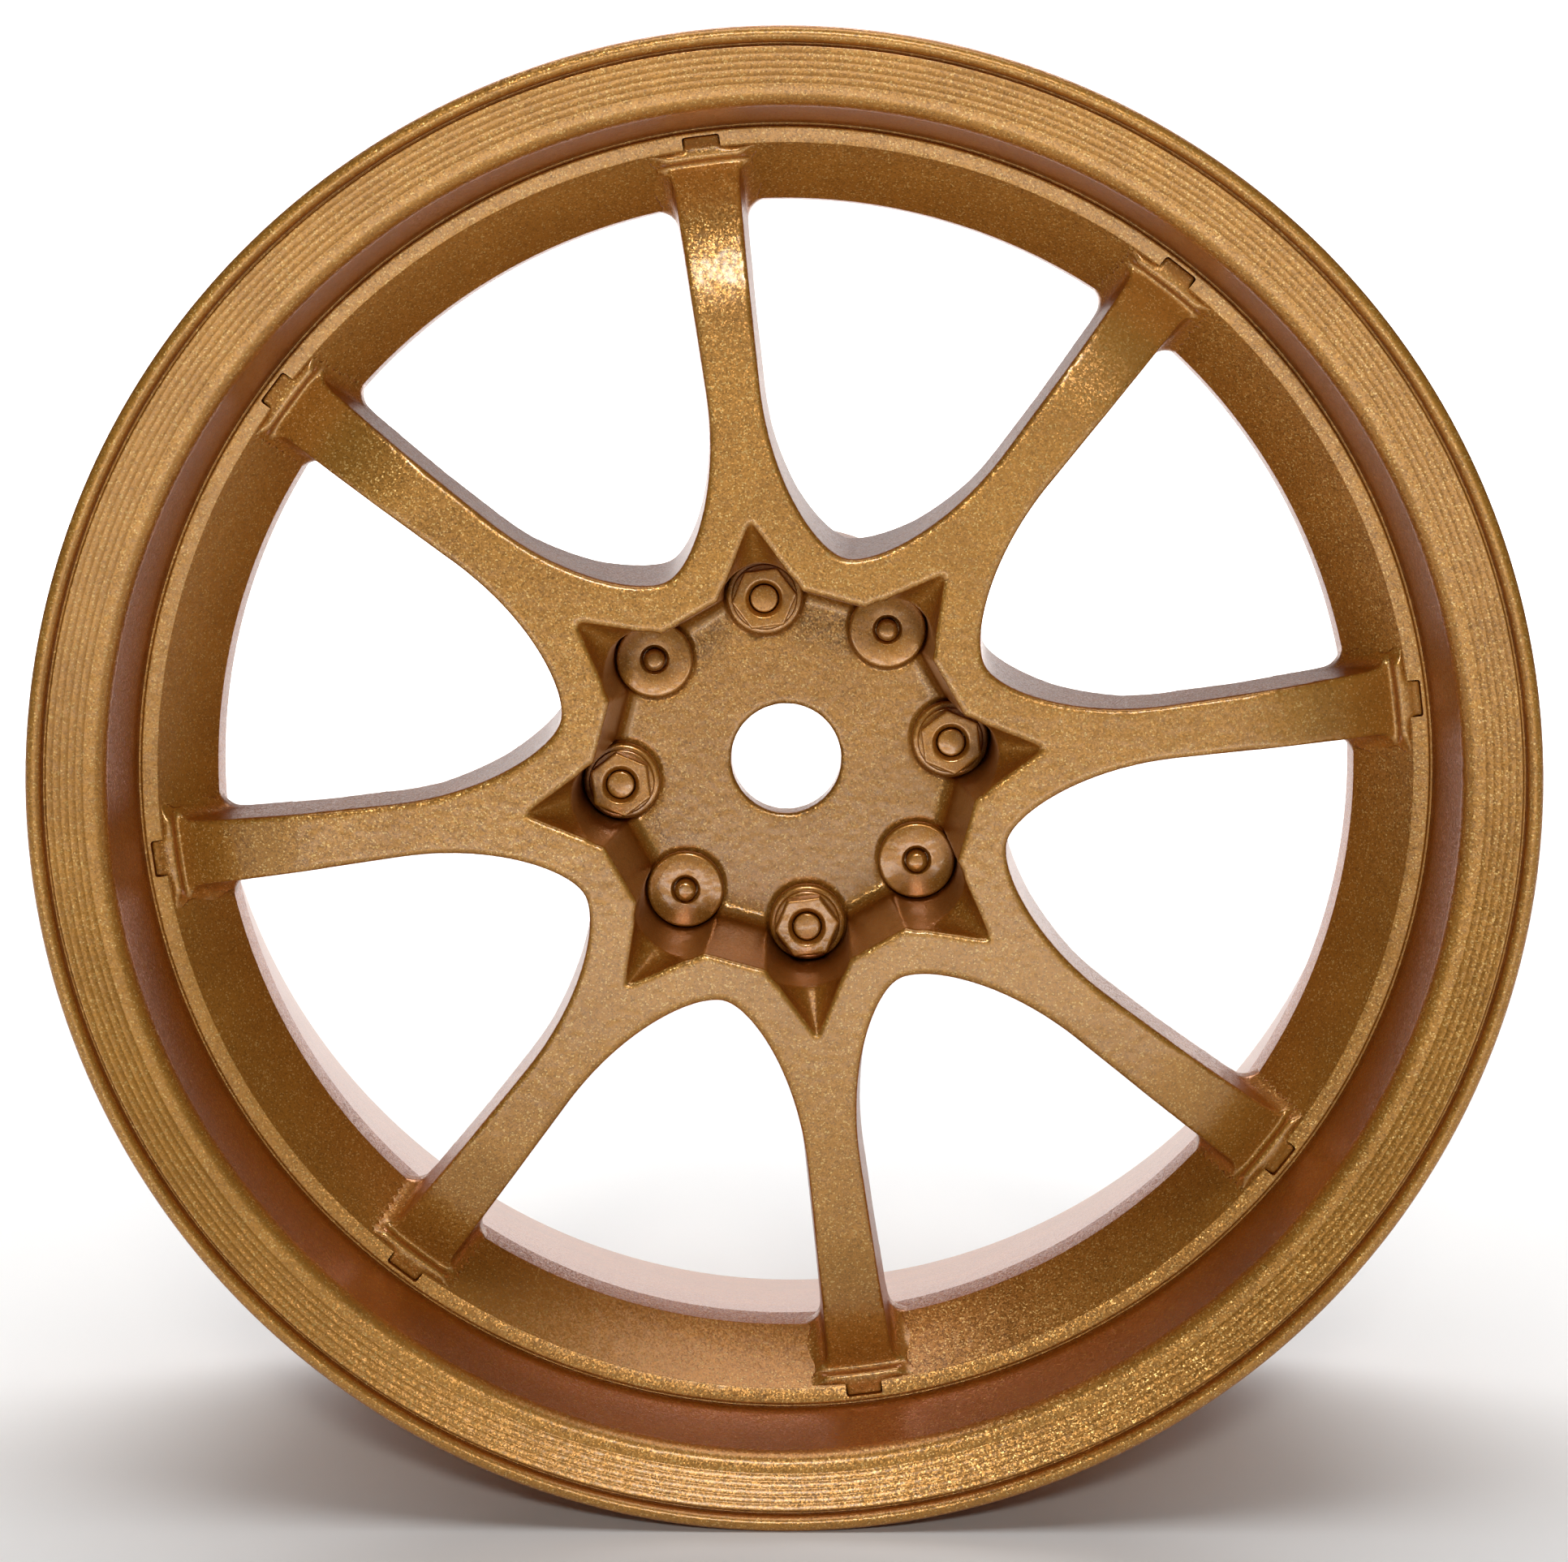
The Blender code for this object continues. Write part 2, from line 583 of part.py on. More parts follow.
def rod_profile(radius, top, chamfer):
    """A rod with a chamfered top, rooted in the web under a lug pocket."""
    root = LUG_FLOOR - STUD_ROOT
    return [(0.0, top), (radius - chamfer, top), (radius, top - chamfer), (radius, root),
            (0.0, root)]


def nut_mesh():
    """A hexagon nut with its upper corners turned off, around its own bore."""
    flat_to_corner = 1.0 / math.cos(math.pi / 6.0)
    corner = NUT_ACROSS_FLATS / 2.0 * flat_to_corner
    nut = bpy.data.objects.new("nut_blank", prism_mesh("nut", 6, corner, NUT_HEIGHT))
    place(nut, CUTTERS, None)
    round_profile = [
        (STUD_RADIUS + FIT, NUT_HEIGHT),
        (NUT_ACROSS_FLATS / 2.0 - NUT_CHAMFER, NUT_HEIGHT),
        (corner + FIT, NUT_HEIGHT - (corner + FIT - NUT_ACROSS_FLATS / 2.0 + NUT_CHAMFER) * 0.6),
        (corner + FIT, -NUT_HEIGHT),
        (STUD_RADIUS + FIT, -NUT_HEIGHT),
    ]
    envelope = bpy.data.objects.new("nut_round", turned_mesh("nut_round", round_profile,
                                                             SMALL_STEPS))
    place(envelope, CUTTERS, None)
    boolean(nut, envelope, "INTERSECT")
    mesh = evaluated_mesh(nut)
    bpy.data.objects.remove(nut)
    bpy.data.objects.remove(envelope)
    return mesh


def build_nut_set(number, index, nut):
    """Seat, stud, washer and nut, stacked in the pocket under a lug bore."""
    here = on_lug_circle(index, 0.0)
    bore = STUD_RADIUS + FIT
    seat = ring_profile(SEAT_RADIUS, bore, LUG_FLOOR + FIT, SEAT_TOP, SEAT_CHAMFER)
    add_small(f"lug_seat_{number}", seat, PAINT, here)
    stud = rod_profile(STUD_RADIUS, NUT_TOP - STUD_SINK, STUD_CHAMFER)
    add_small(f"lug_stud_{number}", stud, PAINT, here)
    washer = ring_profile(WASHER_RADIUS, bore, SEAT_TOP + FIT, WASHER_TOP, FIT)
    add_small(f"lug_washer_{number}", washer, PAINT_BRIGHT, here)
    part = add_part(f"lug_nut_{number}", nut.copy(), PAINT_BRIGHT,
                    on_lug_circle(index, WASHER_TOP + FIT), lug_angle(index))
    settle(part)


def build_plug_set(number, index):
    """A blanking plug on an unused lug position, and the pin at its centre."""
    here = on_lug_circle(index, 0.0)
    plug = ring_profile(SEAT_RADIUS, PIN_RADIUS + FIT, LUG_FLOOR + FIT, SEAT_TOP, SEAT_CHAMFER)
    add_small(f"lug_plug_{number}", plug, PAINT, here)
    pin = rod_profile(PIN_RADIUS, SEAT_TOP + PIN_HEIGHT, SEAT_CHAMFER)
    add_small(f"plug_pin_{number}", pin, PAINT, here)


def add_small(name, profile, material, location):
    settle(add_part(name, turned_mesh(name, profile, SMALL_STEPS), material, location))


def scale_to_metres():
    """Bring every mesh and place from the modelling millimetres to metres."""
    objects = [obj for obj in bpy.data.objects if obj.type == "MESH"]
    for mesh in {obj.data for obj in objects}:
        mesh.transform(Matrix.Scale(METRES_PER_MM, 4))
    for obj in objects:
        obj.location *= METRES_PER_MM


# --- Assembly -----------------------------------------------------------------------------
clear_scene()
PARTS = make_collection("racing_wheel")
CUTTERS = make_collection("cutters")
PAINT = make_material("gold_paint", GOLD, 0.38, 0.75)
PAINT_BRIGHT = make_material("gold_paint_hardware", GOLD_BRIGHT, 0.30, 0.80)
METAL = make_material("bare_metal", GREY, 0.45, 0.90)

WHEEL = bpy.data.objects.new("wheel", None)
PARTS.objects.link(WHEEL)
WHEEL.rotation_mode = "XYZ"
WHEEL.rotation_euler = (Matrix.Rotation(math.pi / 2.0, 3, "X")
                        @ Matrix.Rotation(SPOKE_TURN, 3, "Z")).to_euler("XYZ")

build_rim_barrel()
build_spoke_centre()
build_drive_hub()
NUT = nut_mesh()
for lug in range(SPOKE_COUNT):
    if lug % 2 == 0:
        build_nut_set(lug // 2 + 1, lug, NUT)
    else:
        build_plug_set(lug // 2 + 1, lug)
scale_to_metres()
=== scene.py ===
import math

import bmesh
import bpy
from mathutils import Matrix, Vector


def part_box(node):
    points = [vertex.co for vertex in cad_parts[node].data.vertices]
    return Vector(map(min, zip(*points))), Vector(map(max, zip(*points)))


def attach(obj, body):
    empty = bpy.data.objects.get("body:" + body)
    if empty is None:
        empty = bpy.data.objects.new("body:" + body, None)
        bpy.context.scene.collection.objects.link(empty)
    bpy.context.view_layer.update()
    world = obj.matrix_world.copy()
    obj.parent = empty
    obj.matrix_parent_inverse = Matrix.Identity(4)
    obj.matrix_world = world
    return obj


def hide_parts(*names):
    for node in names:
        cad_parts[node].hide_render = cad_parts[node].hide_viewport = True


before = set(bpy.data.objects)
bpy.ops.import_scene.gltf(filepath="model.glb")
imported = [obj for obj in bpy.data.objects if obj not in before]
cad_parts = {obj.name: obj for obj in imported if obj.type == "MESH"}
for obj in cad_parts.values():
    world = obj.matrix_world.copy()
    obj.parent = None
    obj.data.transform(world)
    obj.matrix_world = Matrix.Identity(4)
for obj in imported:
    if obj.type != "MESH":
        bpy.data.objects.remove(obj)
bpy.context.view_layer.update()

# The wheel's looks: every CAD node is replaced by a fine mesh of the same piece, with soft
# painted edges. Pieces are modelled lying face up in millimetres, outer face toward local +Z,
# and STAND sets them up in the frame: spin axis on Y, outer face toward -Y.

# --- Sizes taken from the frame -----------------------------------------------------------
MM = 0.001
RIM_LOW, RIM_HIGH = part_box("rim_barrel")
RIM_RADIUS = RIM_HIGH.z / MM
RIM_WIDTH = (RIM_HIGH.y - RIM_LOW.y) / MM
TOP = RIM_WIDTH / 2.0


def centre_mm(node):
    low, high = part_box(node)
    return (low + high) / 2.0 / MM


FIRST_LUG = centre_mm("lug_nut_1")
LUG_CIRCLE_RADIUS = math.hypot(FIRST_LUG.x, FIRST_LUG.z)
SPOKE_TURN = math.atan2(-FIRST_LUG.x, FIRST_LUG.z)
SPOKE_COUNT = 8
SECTOR = 2.0 * math.pi / SPOKE_COUNT
STAND = (Matrix.Rotation(math.pi / 2.0, 4, "X") @ Matrix.Rotation(SPOKE_TURN, 4, "Z")
         @ Matrix.Scale(MM, 4))

# --- Driving dimensions, in millimetres ---------------------------------------------------
# Rim, as depths behind the front plane and radii inward from the edge
FLANGE_THICKNESS = 1.25
FLANGE_HEIGHT = 1.25
FLANGE_SLOPE = 0.25
BEAD_SEAT_WIDTH = 3.4
HUMP_HEIGHT = 0.2
BEAD_RING_WIDTH = 0.54
BEAD_GROOVE_WIDTH = 0.12
BEAD_GROOVE_DEPTH = 0.2
LIP_START_DEPTH = 0.36
LIP_FACE_WIDTH = 1.35
LIP_FACE_FALL = 0.55
LIP_LINE_COUNT = 5
LIP_LINE_SPACING = 0.24
LIP_LINE_WIDTH = 0.09
LIP_LINE_DEPTH = 0.008
LIP_LINE_MARGIN = 0.12
LIP_SHOULDER = 0.6
LIP_WALL_DRAFT = 0.3
LIP_WALL_DEPTH = 5.3
LEDGE_GROOVE_WIDTH = 0.14
LEDGE_GROOVE_DEPTH = 0.22
LEDGE_WIDTH = 0.55
LEDGE_FALL = 0.15
CONE_WIDTH = 1.85
CONE_FALL = 2.0
THROAT_LENGTH = 1.6
RIM_WALL = 1.2
REAR_WALL = 0.9
EDGE_ROUND = 0.07
GROOVE_ROUND = 0.03
FLANGE_ROUND = 0.1
SEAT_ROUND = 0.3
WELL_ROUND = 0.8
RIM_STEPS = 320
ROUND_STEPS = 4

# Spoke centre
FACE_DEPTH = 4.6
FACE_FLAT_RADIUS = 16.5
FACE_FALL = 1.35
SHELF_WIDTH = 0.4
SPOKE_WAIST_RADIUS = 14.0
SPOKE_WAIST = 1.9
SPOKE_TIP = 2.3
SPOKE_DEPTH = 3.0
SPOKE_TIP_DEPTH = 2.9
WINDOW_INNER_RADIUS = 8.2
WINDOW_CORNER_PULL = 1.0
SPOKE_FLARE_PULL = 3.5
WALL_DRAFT = math.radians(2.6)
FOOT_FILLET = 0.7
FOOT_OVERLAP = 0.04
HUB_DEPTH = 7.4
KEY_WIDTH = 1.3
KEY_LENGTH = 0.45
KEY_HEIGHT = 0.5
KEY_GAP = 0.01
KEY_STEP = 0.05
KEY_ROUND = 0.12
RECESS_FLAT_TO_FLAT = 13.4
RECESS_DEPTH = 6.9
RECESS_DRAFT = 0.4
RECESS_FILLET = 0.5
AXLE_HOLE_RADIUS = 2.05
WEB_THICKNESS = 1.4
HEX_SEAT_RISE = 0.1
HEX_SEAT_MARGIN = 0.3
LUG_BORE_RADIUS = 1.5
LUG_BORE_DRAFT = 0.08
LUG_POCKET_DEPTH = 0.1
DIMPLE_TIP_RADIUS = 9.3
DIMPLE_BASE_RADIUS = 6.65
DIMPLE_HALF_WIDTH = 1.45
DIMPLE_DEPTH = 2.6
DIMPLE_STEPS = 40
CENTRE_VOXEL = 0.085

# Drive hub and lug hardware
HEX_ACROSS_FLATS = 12.2
SLEEVE_WALL = 0.5
BOSS_WALL = 0.75
HEX_SOCKET_DEPTH = 5.0
HEX_MOUTH_CHAMFER = 0.3
FIT = 0.05
SEAT_RADIUS = 1.42
SEAT_HEIGHT = 0.6
WASHER_RADIUS = 1.22
WASHER_THICKNESS = 0.2
STUD_RADIUS = 0.5
STUD_ROOT = 1.0
STUD_SINK = 0.08
NUT_ACROSS_FLATS = 2.1
NUT_HEIGHT = 0.8
NUT_MOUTH = 0.12
PIN_RADIUS = 0.4
PIN_HEIGHT = 0.4
SEAT_ROUND_TOP = 0.14
PLUG_ROUND_TOP = 0.12
PLUG_MOUTH = 0.1
SMALL_ROUND = 0.08
PIN_ROUND = 0.2
NUT_VOXEL = 0.035
SMALL_STEPS = 64

# --- Derived places -----------------------------------------------------------------------
BEAD_SEAT_RADIUS = RIM_RADIUS - FLANGE_HEIGHT
LIP_FACE_RADIUS = RIM_RADIUS - BEAD_RING_WIDTH - BEAD_GROOVE_WIDTH
LIP_WALL_RADIUS = LIP_FACE_RADIUS - LIP_FACE_WIDTH - LIP_SHOULDER
LEDGE_RADIUS = LIP_WALL_RADIUS - LIP_WALL_DRAFT - LEDGE_GROOVE_WIDTH
CONE_RADIUS = LEDGE_RADIUS - LEDGE_WIDTH
CONE_DEPTH = LIP_WALL_DEPTH + LEDGE_FALL
THROAT_RADIUS = CONE_RADIUS - CONE_WIDTH
THROAT_DEPTH = CONE_DEPTH + CONE_FALL
TIP_RADIUS = CONE_RADIUS - FIT
SPOKE_TAPER = (SPOKE_TIP - SPOKE_WAIST) / 2.0 / (TIP_RADIUS - SPOKE_WAIST_RADIUS)
FLOOR_DEPTH = FACE_DEPTH + RECESS_DEPTH
WEB_BACK_DEPTH = FLOOR_DEPTH + WEB_THICKNESS
HEX_SEAT_DEPTH = WEB_BACK_DEPTH + HEX_SEAT_RISE
HEX_SEAT_RADIUS = HEX_ACROSS_FLATS / 2.0 - HEX_SEAT_MARGIN
HEX_CORNER_RADIUS = HEX_ACROSS_FLATS / 2.0 / math.cos(math.pi / 6.0)
SLEEVE_RADIUS = HEX_CORNER_RADIUS + SLEEVE_WALL
BOSS_RADIUS = SLEEVE_RADIUS + FIT + BOSS_WALL
BOSS_BACK_DEPTH = HEX_SEAT_DEPTH + HEX_SOCKET_DEPTH
LUG_FLOOR = TOP - FLOOR_DEPTH - LUG_POCKET_DEPTH
SEAT_TOP = LUG_FLOOR + FIT + SEAT_HEIGHT
WASHER_TOP = SEAT_TOP + FIT + WASHER_THICKNESS
NUT_TOP = WASHER_TOP + FIT + NUT_HEIGHT
ORIGIN = (0.0, 0.0, 0.0)


# --- Mesh helpers -------------------------------------------------------------------------
def mesh_from_bmesh(name, shape):
    mesh = bpy.data.meshes.new(name)
    bmesh.ops.recalc_face_normals(shape, faces=shape.faces)
    shape.to_mesh(mesh)
    shape.free()
    return mesh


def rounded(corners):
    """A closed outline of (u, v) with each corner (u, v, radius) turned into a small arc."""
    result = []
    count = len(corners)
    for i in range(count):
        here = Vector(corners[i][:2])
        radius = corners[i][2]
        back = Vector(corners[i - 1][:2]) - here
        ahead = Vector(corners[(i + 1) % count][:2]) - here
        turn = back.angle(ahead) if back.length > 0.0 and ahead.length > 0.0 else math.pi
        if radius <= 0.0 or turn > math.radians(176.0):
            result.append(here)
            continue
        cut = min(radius / math.tan(turn / 2.0), back.length * 0.49, ahead.length * 0.49)
        start = here + back.normalized() * cut
        end = here + ahead.normalized() * cut
        for k in range(ROUND_STEPS + 1):
            t = k / ROUND_STEPS
            result.append(start * (1 - t) ** 2 + here * 2 * t * (1 - t) + end * t ** 2)
    return [(point.x, point.y) for point in result]


def turned_mesh(name, outline, steps):
    """Turn an outline of (radius, height) about Z. Points on the axis close the shape."""
    shape = bmesh.new()
    on_axis = [radius < 1e-6 for radius, _ in outline]
    poles = {i: shape.verts.new((0.0, 0.0, outline[i][1])) for i in range(len(outline)) if on_axis[i]}
    rings = []
    for k in range(steps):
        angle = 2.0 * math.pi * k / steps
        rings.append([poles[i] if on_axis[i] else
                      shape.verts.new((radius * math.cos(angle), radius * math.sin(angle), height))
                      for i, (radius, height) in enumerate(outline)])
    for k in range(steps):
        near, far = rings[k], rings[(k + 1) % steps]
        for i in range(len(outline)):
            j = (i + 1) % len(outline)
            corners = [near[i], near[j], far[j], far[i]]
            corners = [v for n, v in enumerate(corners) if v not in corners[:n]]
            if len(corners) > 2:
                shape.faces.new(corners)
    return mesh_from_bmesh(name, shape)


def loft_mesh(name, lower, upper):
    """A closed solid between two outlines of equally many points, (x, y, z) each."""
    shape = bmesh.new()
    bottom = [shape.verts.new(point) for point in lower]
    top = [shape.verts.new(point) for point in upper]
    count = len(bottom)
    for i in range(count):
        j = (i + 1) % count
        shape.faces.new((bottom[i], bottom[j], top[j], top[i]))
    shape.faces.new(list(reversed(bottom)))
    shape.faces.new(top)
    bmesh.ops.triangulate(shape, faces=shape.faces[-2:])
    return mesh_from_bmesh(name, shape)


def prism_mesh(name, sides, radius, height, top_radius=None, base=0.0):
    """A regular prism or frustum standing on z = base."""
    shape = bmesh.new()
    upper = radius if top_radius is None else top_radius
    bmesh.ops.create_cone(shape, cap_ends=True, segments=sides, radius1=radius,
                          radius2=upper, depth=height)
    bmesh.ops.translate(shape, verts=shape.verts, vec=(0.0, 0.0, base + height / 2.0))
    return mesh_from_bmesh(name, shape)


def temporary(name, mesh, location=ORIGIN, turn=0.0):
    obj = bpy.data.objects.new(name, mesh)
    bpy.context.scene.collection.objects.link(obj)
    obj.matrix_world = Matrix.Translation(location) @ Matrix.Rotation(turn, 4, "Z")
    return obj


def combined(name, mesh, cutters, voxel=0.0, smoothing=0):
    """The mesh with each tool (mesh, location, turn) taken away, or joined on.

    A tool that is joined on has a fourth item, "UNION". With a voxel size, the result is
    remeshed and its edges are softened.
    """
    blank = temporary(name, mesh)
    tools = []
    for cutter, location, turn, *other in cutters:
        tool = temporary(name + "_tool", cutter, location, turn)
        tools.append(tool)
        modifier = blank.modifiers.new("cut", "BOOLEAN")
        modifier.operation = other[0] if other else "DIFFERENCE"
        modifier.solver = "MANIFOLD"
        modifier.object = tool
    if voxel > 0.0:
        remesh = blank.modifiers.new("skin", "REMESH")
        remesh.mode = "VOXEL"
        remesh.voxel_size = voxel
        smooth = blank.modifiers.new("soften", "SMOOTH")
        smooth.factor = 0.5
        smooth.iterations = smoothing
    bpy.context.view_layer.update()
    graph = bpy.context.evaluated_depsgraph_get()
    result = bpy.data.meshes.new_from_object(blank.evaluated_get(graph), depsgraph=graph)
    for obj in tools + [blank]:
        bpy.data.objects.remove(obj)
    return result


def add_piece(name, mesh, material, body, nodes, sharp_angle=40.0):
    """Stand a local mesh up in the frame as a visible piece in place of its CAD nodes."""
    mesh.transform(STAND)
    mesh.shade_smooth()
    if sharp_angle:
        mesh.set_sharp_from_angle(angle=math.radians(sharp_angle))
    mesh.materials.clear()
    mesh.materials.append(material)
    piece = bpy.data.objects.new(name, mesh)
    bpy.context.scene.collection.objects.link(piece)
    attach(piece, body)
    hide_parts(*nodes)


def lug_angle(index):
    return math.pi / 2.0 + SECTOR * index


def on_lug_circle(index, height):
    angle = lug_angle(index)
    return (LUG_CIRCLE_RADIUS * math.cos(angle), LUG_CIRCLE_RADIUS * math.sin(angle), height)


# --- Materials ----------------------------------------------------------------------------
GOLD = (0.55, 0.255, 0.036)
GLINT = (0.78, 0.50, 0.16)
DARK_FLAKE = 0.66
# The share of the painted wall shade that the darker wall flakes keep.
DARK_WALL_SHADE_FLAKE = 0.6
PAINT_CLOUD_SIZE = 2.2
PEEL_SIZE = 0.5
PEEL_DEPTH = 0.02
METAL_GRAIN_SIZE = 0.3
METAL_GRAIN_DEPTH = 0.01


def node(tree, kind, **values):
    made = tree.nodes.new(kind)
    for key, value in values.items():
        setattr(made, key, value)
    return made


def mix_colour(tree, factor, first, second, mode="MIX"):
    made = node(tree, "ShaderNodeMix", data_type="RGBA", blend_type=mode)
    for socket, value in ((0, factor), (6, first), (7, second)):
        if isinstance(value, bpy.types.NodeSocket):
            tree.links.new(value, made.inputs[socket])
        else:
            made.inputs[socket].default_value = value
    return made.outputs[2]


def ramp(tree, source, stops):
    made = node(tree, "ShaderNodeValToRGB")
    elements = made.color_ramp.elements
    while len(elements) < len(stops):
        elements.new(0.5)
    for element, (place, colour) in zip(elements, stops):
        element.position = place
        element.color = (*colour, 1.0)
    tree.links.new(source, made.inputs[0])
    return made.outputs[0]


def flake_paint(name, wall_shade, gold, glint, flake_size, tilt, roughness, coat):
    """Metal-flake paint, with tilted flakes of random tone under a clear coat.

    Faces across the axis get the gold flakes and the whole coat. Walls along the axis get a darker,
    more orange colour instead, painted shade that stands in for the shade on them, and no coat.
    The flake size is in millimetres, and the coat is (weight, roughness).
    """
    material = bpy.data.materials.new(name)
    material.use_nodes = True
    tree = material.node_tree
    shader = tree.nodes["Principled BSDF"]
    place = node(tree, "ShaderNodeTexCoord").outputs["Object"]

    cells = node(tree, "ShaderNodeTexVoronoi", voronoi_dimensions="3D", feature="F1")
    cells.inputs["Scale"].default_value = 1.0 / (flake_size * MM)
    tree.links.new(place, cells.inputs["Vector"])
    tone = node(tree, "ShaderNodeSeparateColor")
    tree.links.new(cells.outputs["Color"], tone.inputs[0])

    cloud = node(tree, "ShaderNodeTexNoise")
    cloud.inputs["Scale"].default_value = 1.0 / (PAINT_CLOUD_SIZE * MM)
    cloud.inputs["Detail"].default_value = 3.0
    tree.links.new(place, cloud.inputs["Vector"])

    surface = node(tree, "ShaderNodeNewGeometry")
    toward_front = node(tree, "ShaderNodeSeparateXYZ")
    tree.links.new(surface.outputs["Normal"], toward_front.inputs[0])
    steepness = node(tree, "ShaderNodeMath", operation="ABSOLUTE")
    tree.links.new(toward_front.outputs["Y"], steepness.inputs[0])
    # Painted shade: walls along the axis take a darker, more orange colour than faces across it,
    # standing in for the shade on them. The same share also fades the coat off the walls.
    face_versus_shaded_wall = ramp(tree, steepness.outputs[0], [(0.15, (0.0, 0.0, 0.0)), (0.95, (1.0, 1.0, 1.0))])
    dull = tuple(DARK_FLAKE * channel for channel in gold)
    faces = ramp(tree, tone.outputs[0], [
        (0.0, dull), (0.45, gold), (0.88, gold), (0.95, glint), (1.0, glint)])
    # The walls' flake colours: painted shade.
    shaded_walls = ramp(tree, tone.outputs[0], [
        (0.0, tuple(DARK_WALL_SHADE_FLAKE * channel for channel in wall_shade)), (0.5, wall_shade), (0.9, wall_shade),
        (1.0, gold)])
    flake_colour = mix_colour(tree, face_versus_shaded_wall, shaded_walls, faces)
    slow = ramp(tree, cloud.outputs["Fac"], [(0.3, (0.86, 0.84, 0.8)), (0.7, (1.0, 1.0, 1.0))])
    colour = mix_colour(tree, 1.0, flake_colour, slow, "MULTIPLY")
    tree.links.new(colour, shader.inputs["Base Color"])

    centred = node(tree, "ShaderNodeVectorMath", operation="SUBTRACT")
    centred.inputs[1].default_value = (0.5, 0.5, 0.5)
    tree.links.new(cells.outputs["Color"], centred.inputs[0])
    leaning = node(tree, "ShaderNodeVectorMath", operation="SCALE")
    leaning.inputs["Scale"].default_value = tilt
    tree.links.new(centred.outputs[0], leaning.inputs[0])
    added = node(tree, "ShaderNodeVectorMath", operation="ADD")
    tree.links.new(surface.outputs["Normal"], added.inputs[0])
    tree.links.new(leaning.outputs[0], added.inputs[1])
    flake_normal = node(tree, "ShaderNodeVectorMath", operation="NORMALIZE")
    tree.links.new(added.outputs[0], flake_normal.inputs[0])
    tree.links.new(flake_normal.outputs[0], shader.inputs["Normal"])

    skin = node(tree, "ShaderNodeTexNoise")
    skin.inputs["Scale"].default_value = 1.0 / (PEEL_SIZE * MM)
    skin.inputs["Detail"].default_value = 1.0
    tree.links.new(place, skin.inputs["Vector"])
    orange_peel = node(tree, "ShaderNodeBump")
    orange_peel.inputs["Strength"].default_value = 1.0
    orange_peel.inputs["Distance"].default_value = PEEL_DEPTH * MM
    tree.links.new(skin.outputs["Fac"], orange_peel.inputs["Height"])
    tree.links.new(orange_peel.outputs[0], shader.inputs["Coat Normal"])

    shader.inputs["Metallic"].default_value = 0.4
    shader.inputs["Roughness"].default_value = roughness
    coat_weight = node(tree, "ShaderNodeMath", operation="MULTIPLY")
    coat_weight.inputs[1].default_value = coat[0]
    tree.links.new(face_versus_shaded_wall, coat_weight.inputs[0])
    tree.links.new(coat_weight.outputs[0], shader.inputs["Coat Weight"])
    shader.inputs["Coat IOR"].default_value = 1.5
    shader.inputs["Coat Roughness"].default_value = coat[1]
    return material


def bare_metal(name):
    """Satin aluminium with a fine grain, drawn out across the axis."""
    material = bpy.data.materials.new(name)
    material.use_nodes = True
    tree = material.node_tree
    shader = tree.nodes["Principled BSDF"]
    place = node(tree, "ShaderNodeTexCoord").outputs["Object"]
    grain = node(tree, "ShaderNodeTexNoise")
    grain.inputs["Scale"].default_value = 1.0 / (METAL_GRAIN_SIZE * MM)
    grain.inputs["Detail"].default_value = 6.0
    stretched = node(tree, "ShaderNodeMapping")
    stretched.inputs["Scale"].default_value = (1.0, 8.0, 1.0)
    tree.links.new(place, stretched.inputs["Vector"])
    tree.links.new(stretched.outputs[0], grain.inputs["Vector"])
    tree.links.new(ramp(tree, grain.outputs["Fac"], [
        (0.3, (0.42, 0.41, 0.40)), (0.7, (0.62, 0.61, 0.60))]), shader.inputs["Base Color"])
    bump = node(tree, "ShaderNodeBump")
    bump.inputs["Distance"].default_value = METAL_GRAIN_DEPTH * MM
    tree.links.new(grain.outputs["Fac"], bump.inputs["Height"])
    tree.links.new(bump.outputs[0], shader.inputs["Normal"])
    shader.inputs["Metallic"].default_value = 1.0
    shader.inputs["Roughness"].default_value = 0.38
    return material


# --- Rim barrel ---------------------------------------------------------------------------
def lip_face_points():
    """The lip face from its shoulder out to the bead groove, with the turned lines in it."""
    inner_radius = LIP_WALL_RADIUS + LIP_SHOULDER
    slope = LIP_FACE_FALL / (LIP_FACE_RADIUS - inner_radius)
    points = []
    first = LIP_FACE_RADIUS - LIP_LINE_MARGIN - LIP_LINE_SPACING * LIP_LINE_COUNT

    def surface(radius):
        return TOP - LIP_START_DEPTH - slope * (LIP_FACE_RADIUS - radius)

    for line in range(LIP_LINE_COUNT):
        middle = first + LIP_LINE_SPACING * (line + 0.5)
        for offset, sink in ((-0.5, 0.0), (-0.25, 0.7), (0.0, 1.0), (0.25, 0.7), (0.5, 0.0)):
            radius = middle + offset * LIP_LINE_WIDTH
            points.append((radius, surface(radius) - sink * LIP_LINE_DEPTH, 0.0))
    return points


def throat_radius_at(depth):
    """The inside of the barrel behind the spokes, which opens toward the back."""
    start = THROAT_DEPTH + THROAT_LENGTH
    rear = BEAD_SEAT_RADIUS - REAR_WALL
    share = max(0.0, (depth - start) / (RIM_WIDTH - start))
    return THROAT_RADIUS + (rear - THROAT_RADIUS) * share


def arc_points(centre, radius, start, end, count):
    """An arc from start to end, in degrees, as corners that need no more rounding."""
    angles = [math.radians(start + (end - start) * i / count) for i in range(count + 1)]
    return [(centre[0] + radius * math.cos(a), centre[1] + radius * math.sin(a), 0.0)
            for a in angles]


